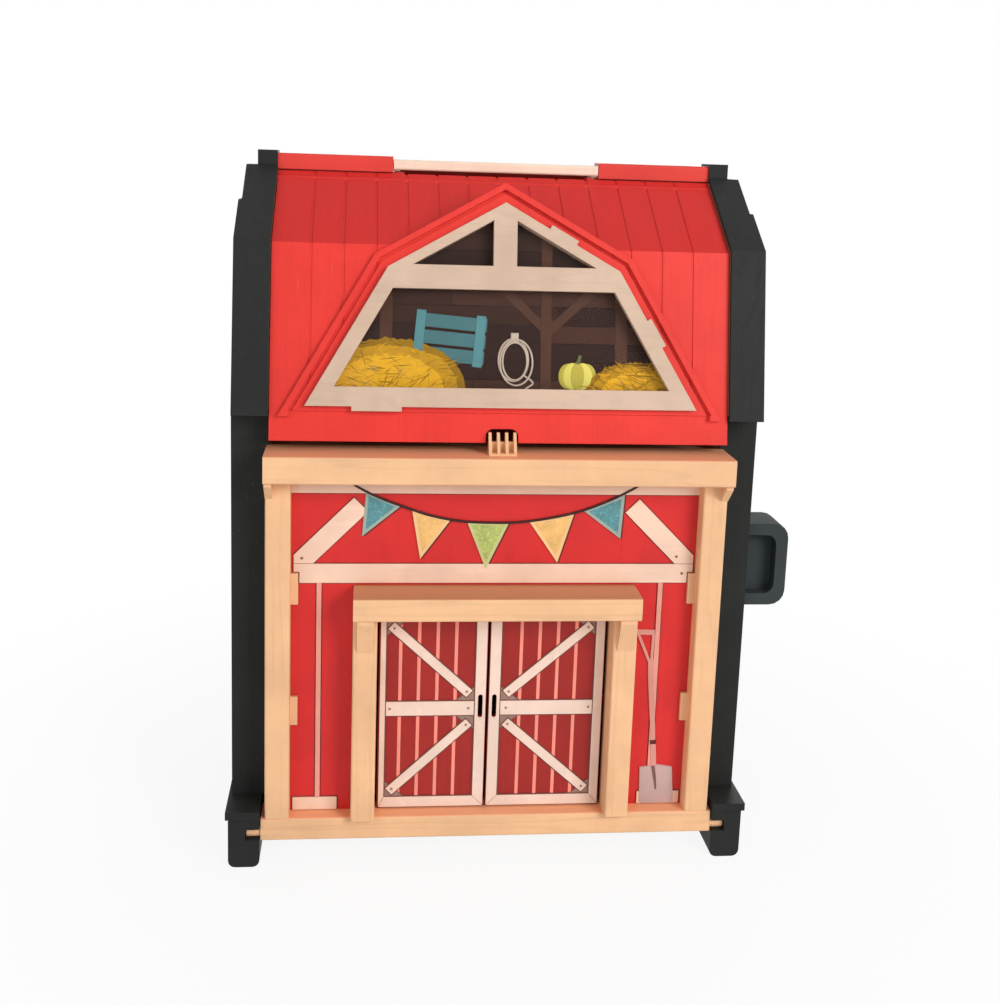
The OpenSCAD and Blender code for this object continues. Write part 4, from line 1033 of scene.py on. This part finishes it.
def card_outline():
    """The visible field of the loft card, x and s, inside the window's skirt."""
    dormer = [(-121.5, 13.2), (121.5, 13.2), (70.5, 101.79), (0.0, 142.0), (-70.5, 101.79)]
    return grown(dormer, -15.1, -11.3)


def card_half_width(outline, s):
    """Half the width of that field at a height on the slope."""
    foot, shoulder, peak = outline[1], outline[2], outline[3]
    a, b = (foot, shoulder) if s <= shoulder[1] else (shoulder, peak)
    return a[0] + (b[0] - a[0]) * (s - a[1]) / (b[1] - a[1])


class BARN_OT_stage(Operator):
    """Set the pale floor, the soft lights and the camera"""
    bl_idname = "barn.stage"
    bl_label = "Stage"

    def execute(self, context):
        scene = context.scene
        self.floor()
        self.world(scene)
        for name, place, aim, size, power, colour in (
            # place, aim and size in metres, power in watts
            ("key_light", (1.3, -1.85, 1.15), (0, 0, 0.22), 1.0, 35.0, (1.0, 0.98, 0.96)),
            ("fill_light", (-1.3, -1.5, 0.7), (0, 0, 0.2), 1.4, 9.0, (1.0, 0.98, 0.95)),
            ("back_light", (0.4, 1.9, 0.8), (0, 0, 0.2), 1.2, 14.0, (1.0, 0.99, 0.97)),
        ):
            lamp = bpy.data.lights.new(name, "AREA")
            lamp.size, lamp.energy, lamp.color = size, power, colour
            holder = bpy.data.objects.new(name, lamp)
            scene.collection.objects.link(holder)
            holder.location = place
            holder.rotation_euler = (Vector(aim) - Vector(place)).to_track_quat("-Z", "Y").to_euler()
        self.camera(scene)
        scene.view_settings.view_transform = "Standard"
        return {"FINISHED"}

    def floor(self):
        """A wide grey floor that the camera, gloss and glass see as white."""
        half = 6.0
        bm = bmesh.new()
        bm.faces.new([bm.verts.new((x, y, 0)) for x, y in rectangle(-half, -half, half, half)])
        mesh = bpy.data.meshes.new("floor")
        bm.to_mesh(mesh)
        bm.free()
        f = Finish("floor_white")
        plain = f.node("ShaderNodeBsdfDiffuse", None, {"Color": (0.86, 0.86, 0.86, 1)})
        lit = f.node("ShaderNodeEmission", None, {"Color": (1, 1, 1, 1), "Strength": 1.0})
        away = f.node("ShaderNodeVectorMath", {"operation": "LENGTH"}, {0: f.place()}, out="Value")
        white = f.seen() * (0.9 + away.step(0.15, 0.5) * 0.1)
        shown = f.node("ShaderNodeMixShader", None, {0: white, 1: plain, 2: lit})
        f.node("ShaderNodeOutputMaterial", None, {"Surface": shown})
        mesh.materials.append(f.material)
        floor = bpy.data.objects.new("floor", mesh)
        bpy.context.scene.collection.objects.link(floor)

    def world(self, scene):
        """Soft light on the object, and white where the camera, gloss or glass look past it."""
        scene.world = bpy.data.worlds.new("pale_room")
        f = Finish("pale_room", scene.world)
        soft, white = (f.node("ShaderNodeBackground", None, {"Color": (1, 1, 1, 1), "Strength": strength})
                       for strength in (0.36, 1.0))
        shown = f.node("ShaderNodeMixShader", None, {0: f.seen(), 1: soft, 2: white})
        f.node("ShaderNodeOutputWorld", None, {"Surface": shown})

    def camera(self, scene):
        """The photograph's camera: turn, tilt, roll, focal length and middle in pixels, and place."""
        yaw, pitch, roll = math.radians(5.91), math.radians(10.17), math.radians(1.91)
        focal, middle_x, middle_y = 1268.34, 491.31, 383.89
        width, height = 1000, 1005
        ahead = Vector((math.sin(yaw) * math.cos(pitch), math.cos(yaw) * math.cos(pitch), -math.sin(pitch)))
        right = Vector((math.cos(yaw), -math.sin(yaw), 0))
        up = right.cross(ahead)
        side = right * math.cos(roll) + up * math.sin(roll)
        top = up * math.cos(roll) - right * math.sin(roll)
        turn = Matrix((side, top, -ahead)).transposed().to_4x4()
        turn.translation = at(-76.47, -755.94, 400.42)
        lens = bpy.data.cameras.new("camera")
        lens.sensor_fit = "HORIZONTAL"
        lens.lens = lens.sensor_width * focal / width
        lens.shift_x = (width / 2 - middle_x) / width
        lens.shift_y = (middle_y - height / 2) / width
        lens.clip_start = 0.01
        camera = bpy.data.objects.new("camera", lens)
        scene.collection.objects.link(camera)
        camera.matrix_world = turn
        scene.camera = camera


OPERATORS = (
    BARN_OT_stage, BARN_OT_shell, BARN_OT_roof, BARN_OT_timber, BARN_OT_inside, BARN_OT_front,
    BARN_OT_doors, BARN_OT_bunting, BARN_OT_shovel, BARN_OT_window, BARN_OT_loft,
)


class BARN_PT_panel(Panel):
    """Buttons and values of the barn"""
    bl_idname = "BARN_PT_panel"
    bl_label = "Toy Barn"
    bl_space_type = "VIEW_3D"
    bl_region_type = "UI"
    bl_category = "Barn"

    def draw(self, context):
        for group in (context.scene.barn_sizes, context.scene.barn_colours):
            column = self.layout.column(align=True)
            for name in group.__annotations__:
                column.prop(group, name)
        for operator in OPERATORS:
            self.layout.operator(operator.bl_idname)


CLASSES = (BarnSizes, BarnColours, *OPERATORS, BARN_PT_panel)


def register():
    for cls in CLASSES:
        bpy.utils.register_class(cls)
    bpy.types.Scene.barn_sizes = PointerProperty(type=BarnSizes)
    bpy.types.Scene.barn_colours = PointerProperty(type=BarnColours)


def unregister():
    del bpy.types.Scene.barn_colours
    del bpy.types.Scene.barn_sizes
    for cls in reversed(CLASSES):
        bpy.utils.unregister_class(cls)


def main():
    register()
    for operator in OPERATORS:
        getattr(bpy.ops.barn, operator.bl_idname.split(".")[1])()


if __name__ == "__main__":
    main()
